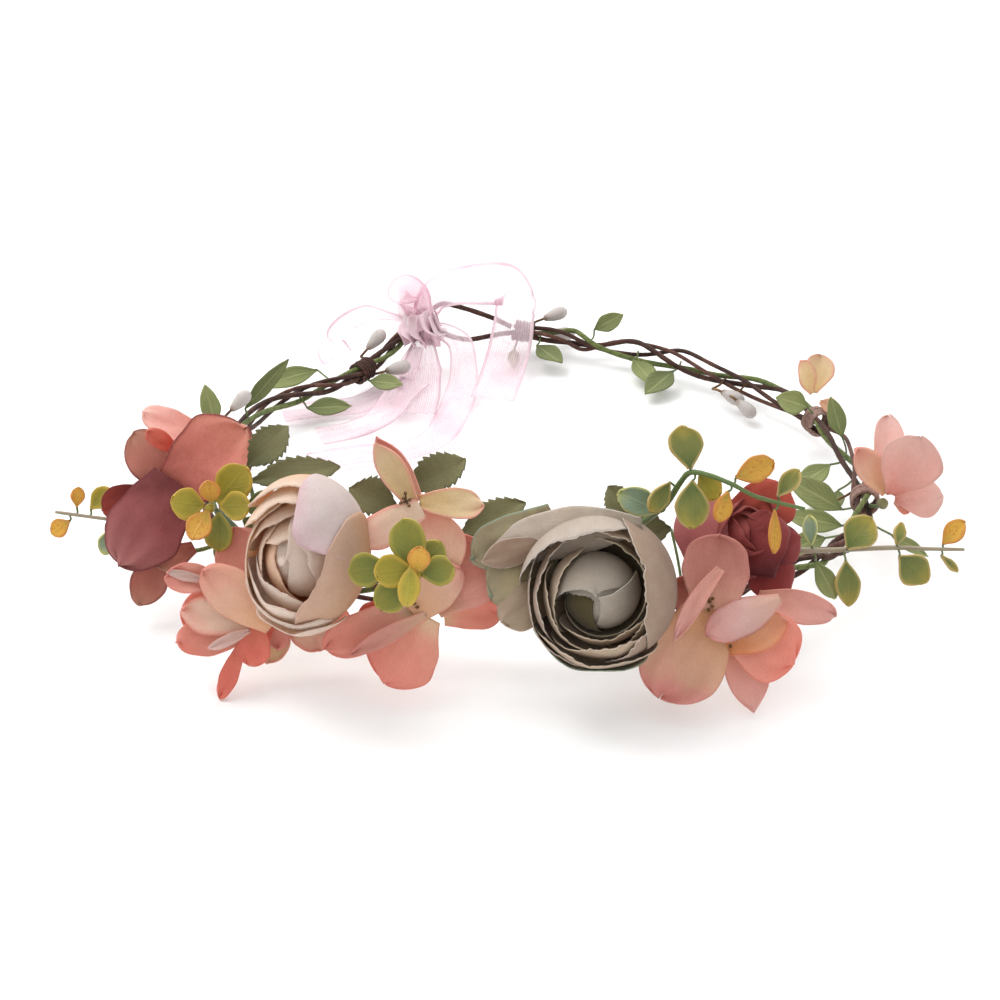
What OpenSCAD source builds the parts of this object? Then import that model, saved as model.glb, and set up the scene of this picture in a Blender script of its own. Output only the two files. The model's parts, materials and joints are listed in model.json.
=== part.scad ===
// Flower crown: a wire ring with bound fabric flowers, plastic sprigs, a leaf
// garland and a ribbon tie at the back. Millimetres, +Z up, lying on a table at
// z = 0 with the flowers towards -Y and the tie at the back, +Y.

/* [Ring] */
// Diameter of one paper-covered vine wire
wire_d = 2; // [1.4:0.2:2.4]
// Distance of each wire from the middle of the twist, where it is loose
twist_radius = 2.4; // [2.1:0.1:2.6]
// The same distance where the binding coils draw the wires together
tight_radius = 1.6; // [1.6:0.05:1.8]
// Turns of the twist along the flower side
front_turns = 7; // [4:1:10]
// Turns of the twist along the bare right arm
arm_turns = 4; // [2:1:6]

/* [Petals and leaves] */
// Thickness of a fabric petal or leaf solid
petal_thickness = 0.7; // [0.5:0.1:0.9]
// Thickness of a ribbon solid
ribbon_thickness = 0.6; // [0.4:0.1:0.8]
// Width of the ribbon
ribbon_w = 14; // [10:1:16]

/* [Blooms] */
// Radius of the taupe ranunculus
taupe_r = 20; // [18:0.5:20.5]
// Radius of the cream ranunculus
cream_r = 16; // [15:0.5:16.5]
// Radius of the burgundy rose
rose_r = 14; // [12:0.5:14.5]

/* [Hidden] */

// Middle of the ring in the part's frame, whose origin is below the middle of the part
ring_middle = [10, 9, 0];
wire_r = wire_d / 2;
wire_sides = 6;
green = "darkolivegreen";
blush = "lightpink";
coral = "salmon";

// The ring's middle line, from the hook at the back left, round the flowers, to the arm's pivot
front_route = [
  [-42, 86, 11], [-50, 74, 8], [-59, 62, 8], [-71, 52, 9], [-83, 39, 10], [-90, 16, 11.5],
  [-92, -14, 14], [-87, -40, 16], [-72, -59, 18], [-50, -70, 19], [-25, -76, 19.5],
  [0, -78, 19.5], [25, -76, 19], [50, -70, 19], [68, -60, 18], [78, -52, 17.5]
];
// The bare right arm's middle line, from its pivot to the binding coil
arm_route = [
  [80, -50, 17.3], [86, -41, 17], [91, -24, 15], [91, -3, 13], [87, 20, 11], [79, 40, 9],
  [65, 58, 7.5], [50, 71, 7], [34, 81, 6.5], [18, 88, 6.5], [5, 91.5, 7], [-8, 93.5, 8]
];
// Elevation that the flowers and leaves face
face_el = 31;

// ---------- vectors and turns ----------
function unit(v) = v / norm(v);
function turn_x(a, p) = [p.x, p.y * cos(a) - p.z * sin(a), p.y * sin(a) + p.z * cos(a)];
function turn_y(a, p) = [p.x * cos(a) + p.z * sin(a), p.y, p.z * cos(a) - p.x * sin(a)];
function turn_z(a, p) = [p.x * cos(a) - p.y * sin(a), p.x * sin(a) + p.y * cos(a), p.z];
// Local +Z is turned to face azimuth az (0 is -Y, 90 is +X) and elevation el
function facing(az, el, p) = turn_z(az, turn_x(90 - el, p));

// ---------- smooth routes ----------
function route_at(P, t) =
  let (
    n = len(P) - 1,
    i = min(floor(t), n - 1),
    s = t - i,
    a = P[max(i - 1, 0)],
    b = P[i],
    c = P[i + 1],
    d = P[min(i + 2, n)]
  )
  0.5 * (2 * b + (c - a) * s + (2 * a - 5 * b + 4 * c - d) * s * s
    + (3 * b - a - 3 * c + d) * s * s * s);
function smooth(P, count) = [for (k = [0:count]) route_at(P, k * (len(P) - 1) / count)];

// ---------- closed meshes, each [points, faces] ----------
function side_of(line, k, up) =
  let (n = len(line) - 1, along = unit(line[min(k + 1, n)] - line[max(k - 1, 0)]))
  unit(cross(up, along));
// A round tube along a line of points; its radius may taper to tip_share of itself
function tube(line, r, sides = wire_sides, up = [0, 0, 1], tip_share = 1) =
  let (
    n = len(line) - 1,
    rings = [for (k = [0:n])
      let (
        along = unit(line[min(k + 1, n)] - line[max(k - 1, 0)]),
        u = side_of(line, k, up),
        v = cross(along, u),
        rk = r * (1 + (tip_share - 1) * k / n)
      )
      for (j = [0:sides - 1]) line[k] + rk * (cos(360 * j / sides) * u + sin(360 * j / sides) * v)
    ],
    walls = [for (k = [0:n - 1], j = [0:sides - 1])
      let (a = k * sides + j, b = k * sides + (j + 1) % sides)
      each [[a, a + sides, b], [b, a + sides, b + sides]]
    ],
    caps = [
      [for (j = [0:sides - 1]) j],
      [for (j = [0:sides - 1]) (n + 1) * sides - 1 - j]
    ]
  )
  [rings, concat(walls, caps)];
// A sheet of even thickness over a grid of points
function sheet(G, thickness) =
  let (
    m = len(G) - 1,
    n = len(G[0]) - 1,
    N = [for (i = [0:m]) [for (j = [0:n]) unit(cross(
      G[min(i + 1, m)][j] - G[max(i - 1, 0)][j],
      G[i][min(j + 1, n)] - G[i][max(j - 1, 0)]
    ))]],
    top = [for (i = [0:m], j = [0:n]) G[i][j] + N[i][j] * thickness / 2],
    low = [for (i = [0:m], j = [0:n]) G[i][j] - N[i][j] * thickness / 2],
    w = n + 1,
    c = (m + 1) * w,
    rim = concat(
      [for (j = [0:n]) j],
      [for (i = [1:m]) i * w + n],
      [for (j = [n - 1:-1:0]) m * w + j],
      [for (i = [m - 1:-1:1]) i * w]
    ),
    edge = len(rim)
  )
  [concat(top, low), concat(
    [for (i = [0:m - 1], j = [0:n - 1]) let (a = i * w + j)
      each [[a, a + 1, a + w], [a + 1, a + w + 1, a + w]]],
    [for (i = [0:m - 1], j = [0:n - 1]) let (a = c + i * w + j)
      each [[a, a + w, a + 1], [a + 1, a + w, a + w + 1]]],
    [for (k = [0:edge - 1]) let (a = rim[k], b = rim[(k + 1) % edge])
      each [[a, a + c, b], [b, a + c, b + c]]]
  )];
// Several meshes that don't touch, drawn as one polyhedron
function joined_faces(parts, k = 0, start = 0) =
  k >= len(parts) ? []
    : concat(
        [for (f = parts[k][1]) [for (v = f) v + start]],
        joined_faces(parts, k + 1, start + len(parts[k][0]))
      );
module solids(parts) {
  translate(ring_middle)
    polyhedron([for (p = parts) each p[0]], joined_faces(parts), convexity = 10);
}

// ---------- petals and leaves ----------
function outline(u, peak) = pow(sin(180 * pow(0.03 + 0.94 * u, peak)), 0.6);
// Along +X from its base. cup lifts the sides, curl lifts the tip, both towards +Z
function petal_grid(length, width, cup, curl, peak, rows, cols) = [for (i = [0:rows])
  let (u = i / rows, half = width / 2 * outline(u, peak))
  [for (j = [0:cols]) let (v = 2 * j / cols - 1)
    [length * u, half * v, cup * half * v * v + curl * length * u * u]]
];
// One petal of a floret: [angle, tilt, length, width, cup, curl, roll]
function petal(spec, start = 2, peak = 1.5, rows = 4, cols = 4) =
  [for (row = petal_grid(spec[2] - start, spec[3], spec[4], spec[5], peak, rows, cols))
    [for (p = row) turn_z(spec[0], turn_y(-spec[1], turn_x(spec[6], p) + [start, 0, 0]))]];
// A floret's petals about its middle, turned to face az, el
function floret(middle, az, el, specs, start = 2) = [for (s = specs)
  sheet([for (row = petal(s, start)) [for (p = row) middle + facing(az, el, p)]], petal_thickness)
];
// A leaf or pip lies in a plane that faces azimuth az and elevation el, where it points
// at an angle from the plane's own right: [x, y, z, angle, tilt, length, width, az, el]
function leaf(s, peak = 1.1, rows = 3, cols = 2) =
  sheet([for (row = petal_grid(s[5], s[6], 0.15, -0.08, peak, rows, cols))
    [for (p = row) [s[0], s[1], s[2]]
      + facing(s[7], len(s) > 8 ? s[8] : face_el, turn_z(s[3], turn_y(-s[4], p)))]],
    petal_thickness);
// One wrapped petal of a round bloom: part of a ball about local +Z, whose radius grows
// with the angle, so that each petal's far edge lies outside the next one's near edge
function wrap_petal(r, pitch, mid, half, low, top, squash, rows = 4, cols = 6) =
  [for (i = [0:rows]) [for (j = [0:cols])
    let (
      v = 2 * j / cols - 1,
      around = mid + half * v,
      down = low + (top + (low - top) * 0.35 * v * v * v * v - low) * i / rows,
      rr = r + pitch * v * half / 120
    )
    [rr * sin(down) * cos(around), rr * sin(down) * sin(around), squash * rr * cos(down)]]];
function wrapped(middle, az, el, grids) = [for (G = grids)
  sheet([for (row = G) [for (p = row) middle + facing(az, el, p)]], petal_thickness)];
// A bloom's closed heart: a ball squashed along its axis
module heart(middle, az, el, r, squash) {
  translate(ring_middle + middle) rotate([90 - el, 0, az])
    rotate_extrude($fn = 32) intersection() {
      scale([1, squash]) circle(r, $fn = 32);
      translate([0, -2 * r]) square([2 * r, 4 * r]);
    }
}

// ---------- ring ----------
// One strand of the twist about a route; loose(s) is 1 where the twist is loose, 0 where tight
function front_loose(s) = max(0, min(1, 12 * (s - 0.13), 15 * (1 - s)));
function arm_loose(s) = max(0, min(1, 10 * s, 10 * (0.95 - s)));
function strand(P, count, turns, phase, front) =
  let (line = smooth(P, count))
  [for (k = [0:count])
    let (
      s = k / count,
      r = tight_radius + (twist_radius - tight_radius) * (front ? front_loose(s) : arm_loose(s)),
      a = phase + 360 * turns * s
    )
    line[k] + r * (cos(a) * side_of(line, k, [0, 0, 1]) + sin(a) * [0, 0, 1])];
front_rings = 60;
arm_rings = 36;
module front_strand(phase) {
  solids([tube(strand(front_route, front_rings, front_turns, phase, true), wire_r)]);
}
module arm_strand(phase) {
  solids([tube(strand(arm_route, arm_rings, arm_turns, phase, false), wire_r)]);
}
module vine_wire_1() { color("saddlebrown") front_strand(0); }
module vine_wire_2() { color("sienna") front_strand(90); }
module vine_wire_3() { color("saddlebrown") front_strand(180); }
module garland_stem_front() { color(green) front_strand(270); }
module arm_wire_1() { color("saddlebrown") arm_strand(0); }
module arm_wire_2() { color("sienna") arm_strand(90); }
module arm_wire_3() { color("saddlebrown") arm_strand(180); }
module garland_stem_arm() { color(green) arm_strand(270); }

// Three rings of fine wire bound round the twist
coil_wire_r = 0.5;
tight_coil_r = tight_radius + wire_r + coil_wire_r + 0.1;
loose_coil_r = twist_radius + wire_r + coil_wire_r + 0.1;
module coil(P, t, count, coil_r) {
  at = route_at(P, t);
  along = unit(route_at(P, t + 0.05) - route_at(P, t - 0.05));
  for (k = [0:count - 1])
    translate(ring_middle + at + along * 1.15 * (k - (count - 1) / 2))
      rotate([0, acos(along.z), atan2(along.y, along.x)])
        rotate_extrude($fn = 32) translate([coil_r, 0]) circle(coil_wire_r, $fn = 16);
}
module left_binding_coil() { color("saddlebrown") coil(front_route, 1.5, 5, tight_coil_r); }
module right_binding_coil() { color("saddlebrown") coil(arm_route, 10.7, 5, tight_coil_r); }
module arm_tape_wrap() {
  color("rosybrown") {
    coil(arm_route, 4.7, 5, loose_coil_r);
    coil(arm_route, 2.3, 5, loose_coil_r);
  }
}
// Bent ends of the vine wire that the ribbon ties together
module left_end_hook() {
  color("saddlebrown") solids([tube(smooth([[-40.8, 87.9, 11.4], [-39.2, 90.2, 11.7],
    [-37.4, 91.4, 11.6]], 4), 0.9)]);
}
module right_end_loop() {
  color("saddlebrown") solids([tube(smooth([
    [-11.5, 95.2, 9.6], [-15.5, 95.5, 11.5], [-24, 95, 15], [-31, 93.8, 17], [-34.5, 92.5, 13],
    [-30, 91.5, 8], [-23, 92, 5.5], [-16, 92.8, 6.2], [-11.5, 93, 7]
  ], 26), 0.9, 6, [0, 1, 0])]);
}

// ---------- garland ----------
left_leaf_specs = [
  [-95.5, 26, 13, 108, 5, 11, 5.5, -10], [-87, 31, 15.5, 44, 0, 18, 4.5, 10],
  [-68, 66, 9, 197, 0, 19, 5.5, 0, 45], [-70, 47, 6.5, -6, 0, 12.5, 6, 10, 60],
  [-52, 64.5, 6, -10, 0, 10, 5.5, 0, 60]
];
module garland_leaves_left() { color("olivedrab") solids([for (s = left_leaf_specs) leaf(s)]); }
arm_leaf_specs = [
  [-1, 87, 6, -50, 0, 12, 7, 0, 78], [-8, 89.5, 3.4, -92, -4, 11, 3, 0, 85],
  [17, 92.8, 8.5, 28, 0, 10, 5.5, 0], [29, 79.5, 5, -62, 0, 14, 6.5, 0, 76],
  [41, 71.5, 5.5, 231, 0, 14, 7, 0, 74], [79, 32, 15.5, 164, 0, 9.5, 8, 0, 50],
  [87.5, 12, 17, 105, 5, 12, 5, 0, 50], [84, 8, 10, 232, 0, 13, 6.5, -15, 65],
  [85.5, -3, 8, -95, 0, 7, 3.5, 0, 70], [85, -20, 12, 150, 0, 18, 7.5, 0, 50],
  [84.5, -27, 11, 170, 0, 16, 6.5, 0, 50], [79, -35, 12, 200, 0, 13, 7, 0, 50],
  [97.5, -33, 12, -34, 0, 12, 3, 0, 50]
];
module garland_leaves_arm() { color("olivedrab") solids([for (s = arm_leaf_specs) leaf(s)]); }
// A pip is a soft bead drawn out along its stalk
pip_l = 8;
pip_r = 2.2;
module pip(s) {
  translate(ring_middle + [s[0], s[1], s[2]]) rotate([90 - s[4], 0, 0]) rotate([0, 0, s[3]])
    rotate([0, 90, 0]) rotate_extrude($fn = 24)
      polygon([[0, 0], [0.8, 0.3], [pip_r * 0.75, pip_l * 0.35], [pip_r, pip_l * 0.65],
        [pip_r * 0.8, pip_l * 0.88], [pip_r * 0.4, pip_l * 0.98], [0, pip_l]]);
}
// Each pip: [x, y, z, angle, elevation that its plane faces]
module left_pips() {
  color("white") {
    pip([-91, 28, 16.5, 45, 31]);
    pip([-53.5, 79, 9, 48, 31]);
    pip([-47.5, 68, 7.4, 14, 31]);
  }
}
module back_pips() {
  color("white") {
    pip([1, 98, 9.5, 20, 31]);
    pip([3, 98, 4.5, -3, 31]);
  }
}
module arm_pips() {
  color("white") {
    pip([55, 58, 6, -32, 70]);
    pip([59.5, 52.5, 6, -50, 70]);
    pip([81, -11, 7.5, 215, 60]);
  }
}

// ---------- flowers on the arm ----------
side_middle = [96.5, -30, 21];
module blush_side_petals() {
  color(blush) solids(floret(side_middle, 15, 31, [
    [60, 14, 20, 17, 0.5, 0.1, 0], [72, -25, 27, 9, 0.3, 0, 0], [114, -4, 17, 10, 0.3, 0, 20],
    [-4, 5, 20, 10, 0.3, -0.1, 10], [-70, -10, 8, 6, 0.2, 0, 0]
  ]));
}
module blush_side_calyx() {
  color(green) translate(ring_middle + [95.4, -27.2, 18.4]) rotate([58, 0, 15])
    cylinder(h = 2.4, r1 = 1.4, r2 = 0.8, center = true, $fn = 24);
}
module cream_bud_petals() {
  color("navajowhite") solids(floret([81, 35, 16.5], 20, 45, [
    [114, 38, 14, 6, 0.4, 0, 0], [66, 0, 14, 8, 0.4, 0, 0], [-40, 10, 8, 5, 0.3, 0, 0]
  ]));
}

// ---------- ribbon ----------
// A ribbon along a route: each point is [x, y, z, lean], and lean is how far its width
// is turned up out of the level
function ribbon(P, count, width, thickness = ribbon_thickness) =
  let (
    line = smooth([for (p = P) [p[0], p[1], p[2]]], count),
    leans = smooth([for (p = P) [p[3], 0, 0]], count)
  )
  sheet([for (k = [0:count])
    let (
      n = count,
      along = unit(line[min(k + 1, n)] - line[max(k - 1, 0)]),
      flat = unit([-along.y, along.x, 0]),
      up = cross(along, flat),
      across = cos(leans[k].x) * flat + sin(leans[k].x) * up
    )
    [for (j = [0:2]) line[k] + across * width * (j / 2 - 0.5)]], thickness);
knot_middle = [-36.5, 82, 15];
module ribbon_knot() {
  color("hotpink") translate(ring_middle + knot_middle) rotate([0, 30, 0]) scale([1.25, 0.8, 1])
    sphere(4, $fn = 32);
}
module bow_loop() {
  color("pink") solids([ribbon([
    [-40, 82, 22, 60], [-42, 82, 24, 60], [-41, 83, 28, 60], [-38, 84, 30, 60]
  ], 6, 6)]);
}
module tie_band() {
  color("pink") solids([ribbon([
    [-32.5, 86, 23, 60], [-27, 88, 25, 60], [-20, 89, 25.5, 60], [-13, 89.5, 25.5, 60]
  ], 6, ribbon_w * 0.85)]);
}
module hanging_ribbon_end() {
  color("pink") solids([ribbon([
    [-7.5, 89, 24, 0], [-8, 88, 17, 0], [-8.8, 86, 10.5, 0], [-10, 81, 5.5, 0],
    [-12, 71, 4, 0], [-14.5, 58, 3.4, 0]
  ], 12, ribbon_w)]);
}
module ribbon_fan() {
  color("pink") solids([ribbon([
    [-36, 78.5, 11, 0], [-36.5, 75, 6, 0], [-37, 69, 3.6, 0], [-37, 60, 3.2, 0], [-38, 50, 3, 0]
  ], 8, ribbon_w - 2)]);
}
module long_ribbon_tail() {
  color("pink") solids([ribbon([
    [-31, 82, 16, 30], [-25, 78.5, 12, 30], [-23.5, 71, 5, 20], [-24.5, 62, 1.2, 0], [-27, 50, 1, 0],
    [-31, 38, 1, 0], [-40, 30, 1, 0], [-54, 28, 1, 0], [-68, 24, 1, 0]
  ], 18, 6.5)]);
}
module left_ribbon_tail() {
  color("pink") solids([ribbon([
    [-42, 72, 2.2, 0], [-47, 65, 1.4, 0], [-55, 58, 0.9, 0], [-66, 55, 0.9, 0], [-78, 52, 0.9, 0]
  ], 10, 8)]);
}
module middle_ribbon_tail() {
  color("pink") solids([ribbon([
    [-43, 58, 2.4, 0], [-47, 48, 2.2, 0], [-55, 41, 1.9, 0], [-66, 37, 1.8, 0]
  ], 8, 8)]);
}
module left_bow_loop() {
  color("pink") solids([ribbon([
    [-47, 89, 15, 50], [-54, 91, 15, 60], [-61, 90, 11, 65], [-65.5, 88, 5.5, 50], [-63, 84, 2.6, 20]
  ], 8, 7)]);
}

// ---------- left flowers ----------
module dusty_floret_petals() {
  color("indianred") solids(floret([-100, -50, 37.5], -25, 27, [
    [38, 12, 22, 22, 0.25, -0.1, 0], [122, 22, 17, 15, 0.3, 0, 0],
    [192, -8, 18, 12, 0.3, 0, 0], [250, 8, 21, 22, 0.25, -0.1, 0]
  ]));
}
module drooping_floret_petals() {
  color("rosybrown") solids(floret([-101.5, -52, 17], -20, 20, [
    [245, 5, 15, 11, 0.3, 0.1, 0], [15, 10, 10, 9, 0.3, 0, 0], [160, 0, 8, 8, 0.3, 0, 0]
  ]));
}
module blush_back_petals() {
  color(blush) solids(floret([-92.5, -24, 37], -10, 25, [
    [148, 5, 18, 14, 0.3, 0, 0], [40, 0, 8, 9, 0.3, 0, 0], [205, -30, 14, 11, 0.2, 0, 0]
  ]));
}
left_stem_route = [[-97, -36, 16], [-106, -36, 17.5], [-118, -35, 18], [-134.5, -31, 18]];
module left_sprig_stem() {
  color(green) solids([tube(smooth(left_stem_route, 6), 0.8, 6, [0, 0, 1], 0.5)]);
}
module left_sprig_leaves() {
  color("gold") solids([for (s = [
    [-130.5, -33, 16.4, 222, 0, 6.5, 4.5, -15], [-128.5, -31, 19.6, 75, 0, 5.5, 3.5, 20],
    [-124.5, -32, 19.8, 50, 0, 7, 6, -15], [-119, -37, 16, 255, 0, 7, 4.5, 10]
  ]) leaf(s, 0.9)]);
}
// Round boxwood leaves about a sprig's end: [angle, tilt, length, width]
function boxwood(middle, az, el, specs, start) = [for (s = specs)
  sheet([for (row = petal([s[0], s[1], s[2], s[3], 0.2, 0, 0], start, 1, 3, 3))
    [for (p = row) middle + facing(az, el, p)]], petal_thickness)];
module left_boxwood_leaves() {
  color("yellowgreen") {
    solids(boxwood([-86.5, -71, 44], -10, 31, [
      [47, 0, 14, 10], [170, 12, 10, 8], [2, 24, 11, 8], [284, 0, 14, 9], [112, 50, 9, 6], [230, 42, 11, 6]
    ], 3.2));
    solids(boxwood([-85, -65, 39], -10, 31, [[10, -10, 15, 10], [262, -10, 18, 11]], 3));
  }
}
module left_boxwood_stem() {
  color(green) solids([tube(smooth([[-77, -61, 24], [-81, -62, 32],
    [-86, -69, 43]], 4), 0.7, 6, [1, 0, 0])]);
}
module pink_floret_petals() {
  color(coral) solids(floret([-78.5, -86, 21.5], -12, 27, [
    [152, 25, 20, 15, 0.4, -0.1, 0], [176, -12, 22, 12, 0.3, 0, 0], [207, 5, 19, 13, 0.3, 0, 0],
    [254, -5, 23, 7, 0.3, 0, 0], [285, 8, 13, 9, 0.3, 0, 0]
  ]));
}
module buttercream_floret_petals() {
  color("moccasin") solids(floret([-72, -84, 13], 0, 20, [
    [225, -25, 11, 7, 0.3, 0, 0], [288, 0, 13, 9, 0.3, 0, 0], [352, 12, 11, 8, 0.3, 0, 0],
    [140, -45, 8, 6, 0.2, 0, 0]
  ]));
}

// ---------- cream ranunculus ----------
cream_middle = [-62, -88, 37];
cream_az = -22;
cream_el = 24;
module cream_ranunculus_core() {
  color("papayawhip") heart(cream_middle, cream_az, cream_el, cream_r * 0.5, 0.9);
}
module cream_ranunculus_inner_petals() {
  color("blanchedalmond") solids(wrapped(cream_middle, cream_az, cream_el, concat(
    [for (k = [0:2]) wrap_petal(cream_r * 0.62, 1.4, 40 + 120 * k, 75, 115, 22, 1)],
    [for (k = [0:2]) wrap_petal(cream_r * 0.76, 1.6, 100 + 120 * k, 72, 112, 34, 1)]
  )));
}
module cream_ranunculus_outer_petals() {
  color("seashell") solids(wrapped(cream_middle, cream_az, cream_el, concat(
    [for (k = [0:2]) wrap_petal(cream_r * 0.91, 1.8, 20 + 120 * k, 70, 110, 46, 0.95)],
    [wrap_petal(cream_r * 1.32, 0.5, 92, 42, 100, 56, 1), wrap_petal(cream_r * 1.16, 0.5, -80, 42, 104, 62, 1),
      wrap_petal(cream_r * 1.12, 0.5, 32, 26, 102, 42, 1)]
  )));
}

// ---------- centre flowers ----------
module peach_floret_petals() {
  color("peachpuff") solids(floret([-34.5, -82, 52.5], 0, 35, [
    [111, 15, 18, 10, 0.5, 0, 0], [-3, 8, 20, 11, 0.3, 0, 0], [222, 12, 15, 12, 0.3, 0, 0]
  ]));
}
module coral_floret_petals() {
  color(coral) solids(floret([-34, -92, 25], 5, 27, [
    [52, 22, 26, 23, 0.3, 0.1, 0], [202, 16, 18, 14, 0.35, 0, 0], [267, -4, 19, 20, 0.25, 0, 0],
    [0, -14, 23, 10, 0.3, 0, 0]
  ]));
}
module centre_boxwood_leaves() {
  color("yellowgreen") {
    solids(boxwood([-31, -110, 48.5], 0, 31, [
      [106, 0, 14, 9.5], [168, 14, 12, 8.5], [12, 4, 11, 8], [218, -4, 14, 9], [60, 52, 9, 6],
      [258, 48, 10, 6]
    ], 3.2));
    solids(boxwood([-33, -104, 44.5], 0, 31, [[174, -8, 18, 10]], 3));
  }
}
module centre_boxwood_stem() {
  color(green) solids([tube(smooth([[-42, -77, 26], [-38, -92, 35], [-32.5, -105.5, 44],
    [-31.6, -108, 47]], 4), 0.7, 6, [1, 0, 0])]);
}
serrated_leaf_specs = [
  [-78, -54, 46.5, 50, 0, 15, 10, -10], [-77, -60, 45.5, 8, 0, 24, 9, 5, 45],
  [-38, -66, 42, 155, 0, 13, 10, 10], [-35, -63, 45, 28, 0, 17, 11, 0],
  [-21, -66, 33, 27, 0, 19, 10, 0, 45], [24, -66, 38, 120, 0, 10, 9, 10], [35, -62, 32, 185, 0, 14, 11, 0]
];
module serrated_leaves() { color("darkolivegreen") solids([for (s = serrated_leaf_specs) leaf(s)]); }

// ---------- taupe ranunculus ----------
taupe_middle = [15.5, -96, 34];
taupe_az = -8;
taupe_el = 27;
module taupe_ranunculus_core() {
  color("tan") heart(taupe_middle, taupe_az, taupe_el, taupe_r * 0.46, 0.9);
}
module taupe_ranunculus_inner_petals() {
  color("tan") solids(wrapped(taupe_middle, taupe_az, taupe_el, concat(
    [for (k = [0:2]) wrap_petal(taupe_r * 0.58, 1.4, 10 + 120 * k, 75, 112, 30, 0.95)],
    [for (k = [0:2]) wrap_petal(taupe_r * 0.7, 1.5, 70 + 120 * k, 72, 110, 36, 0.95)]
  )));
}
module taupe_ranunculus_outer_petals() {
  color("darkkhaki") solids(wrapped(taupe_middle, taupe_az, taupe_el, concat(
    [for (k = [0:2]) wrap_petal(taupe_r * 0.82, 1.6, 40 + 120 * k, 70, 106, 42, 0.95)],
    [for (k = [0:2]) wrap_petal(taupe_r * 0.94, 1.4, 100 + 120 * k, 66, 104, 52, 0.92)],
    [wrap_petal(taupe_r * 1.08, 0, 150, 26, 100, 58, 0.95), wrap_petal(taupe_r * 1.08, 0, 200, 22, 100, 66, 0.95)]
  )));
}

// ---------- arching sprig ----------
arching_route = [
  [26, -70, 38], [32.5, -76, 48], [36, -80, 57], [38.5, -82, 61.5], [43, -84, 62], [49, -86, 60.5],
  [56, -86, 56.5], [68, -86, 53]
];
module arching_sprig_stem() {
  color(green) solids([tube(smooth(arching_route, 14), 0.8, 6, [0, 1, 0], 0.6)]);
}
module arching_sprig_leaves() {
  color("yellowgreen") solids([for (s = [
    [38.5, -82, 63.2, 95, 0, 11, 8.7, 10], [39, -84.5, 60, 270, 0, 12, 8.7, 0],
    [33.6, -78.6, 56.6, 225, 0, 9, 5, 20], [41, -81, 60, -45, 0, 8, 6, -20], [31.5, -78.5, 47.5, 152, 0, 12, 7, 10],
    [48, -88, 58.5, 242, 0, 8, 4.5, 20],
    [50, -84.5, 62, 22, 0, 10.5, 6.5, 0], [61, -85, 57, 62, 0, 8.5, 4.5, -20],
    [60, -88, 53, 255, 0, 11, 3.2, 30]
  ]) leaf(s, 1)]);
}

// ---------- burgundy rose ----------
rose_middle = [53, -74, 37];
rose_az = 20;
rose_el = 45;
module burgundy_rose_core() { color("maroon") heart(rose_middle, rose_az, rose_el, rose_r * 0.4, 1.1); }
module burgundy_rose_petals() {
  color("brown") solids(wrapped(rose_middle, rose_az, rose_el, concat(
    [for (k = [0:2]) wrap_petal(rose_r * 0.54, 1.4, 30 + 120 * k, 72, 112, 24, 1)],
    [for (k = [0:2]) wrap_petal(rose_r * 0.7, 1.6, 90 + 120 * k, 70, 110, 34, 1)],
    [for (k = [0:2]) wrap_petal(rose_r * 0.88, 1.8, 150 + 120 * k, 68, 108, 44, 1)],
    [wrap_petal(rose_r * 1.06, 0.5, 205, 42, 110, 42, 1)]
  )));
}

// ---------- right flowers ----------
module right_floret_petals() {
  color(blush) solids(floret([43, -89, 27.5], 0, 15, [
    [78, 20, 19, 19, 0.3, -0.1, 0], [236, 0, 26, 21, 0.25, -0.1, 0], [238, 50, 14, 6, 0.3, 0, 40],
    [160, -10, 9, 8, 0.3, 0, 0]
  ]));
}
module apricot_floret_petals() {
  color("lightsalmon") solids(floret([50, -97, 18], 8, 20, [
    [52, 50, 17, 13, 0.5, 0, 0], [28, 14, 20, 20, 0.3, 0, 0], [287, 0, 19, 13, 0.3, 0, 0],
    [13, -20, 29, 10, 0.3, 0, 0]
  ]));
}
long_stem_route = [[71, -69, 29.5], [77.5, -68, 29], [94, -66, 28.5], [104, -65, 27.5], [113.5, -63, 26]];
module long_sprig_stem() {
  color("darkseagreen") solids([tube(smooth(long_stem_route, 8), 0.8, 6, [0, 0, 1], 0.5)]);
}
module long_sprig_leaves() {
  color("yellowgreen") solids([for (s = [
    [81.5, -69, 30.8, 58, 0, 10.5, 8.5, -10], [81, -71, 27, 268, 0, 12, 6.5, 15],
    [95, -66, 30.2, 65, 0, 6, 3, 20], [95.5, -68.5, 26.8, -42, 0, 10, 8, 0],
    [107.5, -63.5, 28.6, 52, 0, 8.5, 5, -10], [107, -66, 25.4, -50, 0, 6.5, 2, 20],
    [72, -69, 31, 95, 0, 8, 3.5, 0], [73, -71.5, 27.5, -65, 0, 11, 5, 10]
  ]) leaf(s, 1.1)]);
}

// ---------- stamens and wire stems ----------
// Short yellow stamens at each open floret's middle: [middle, az, el]
stamen_specs = [[[-34.5, -82, 52.5], 0, 35], [[-34, -92, 25], 5, 27], [[43, -89, 27.5], 0, 15],
  [[50, -97, 18], 8, 20]];
module stamens() {
  color("goldenrod") for (s = stamen_specs)
    translate(ring_middle + s[0]) rotate([90 - s[2], 0, s[1]])
      cylinder(h = 3, r = 0.7, center = true, $fn = 16);
}
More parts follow.
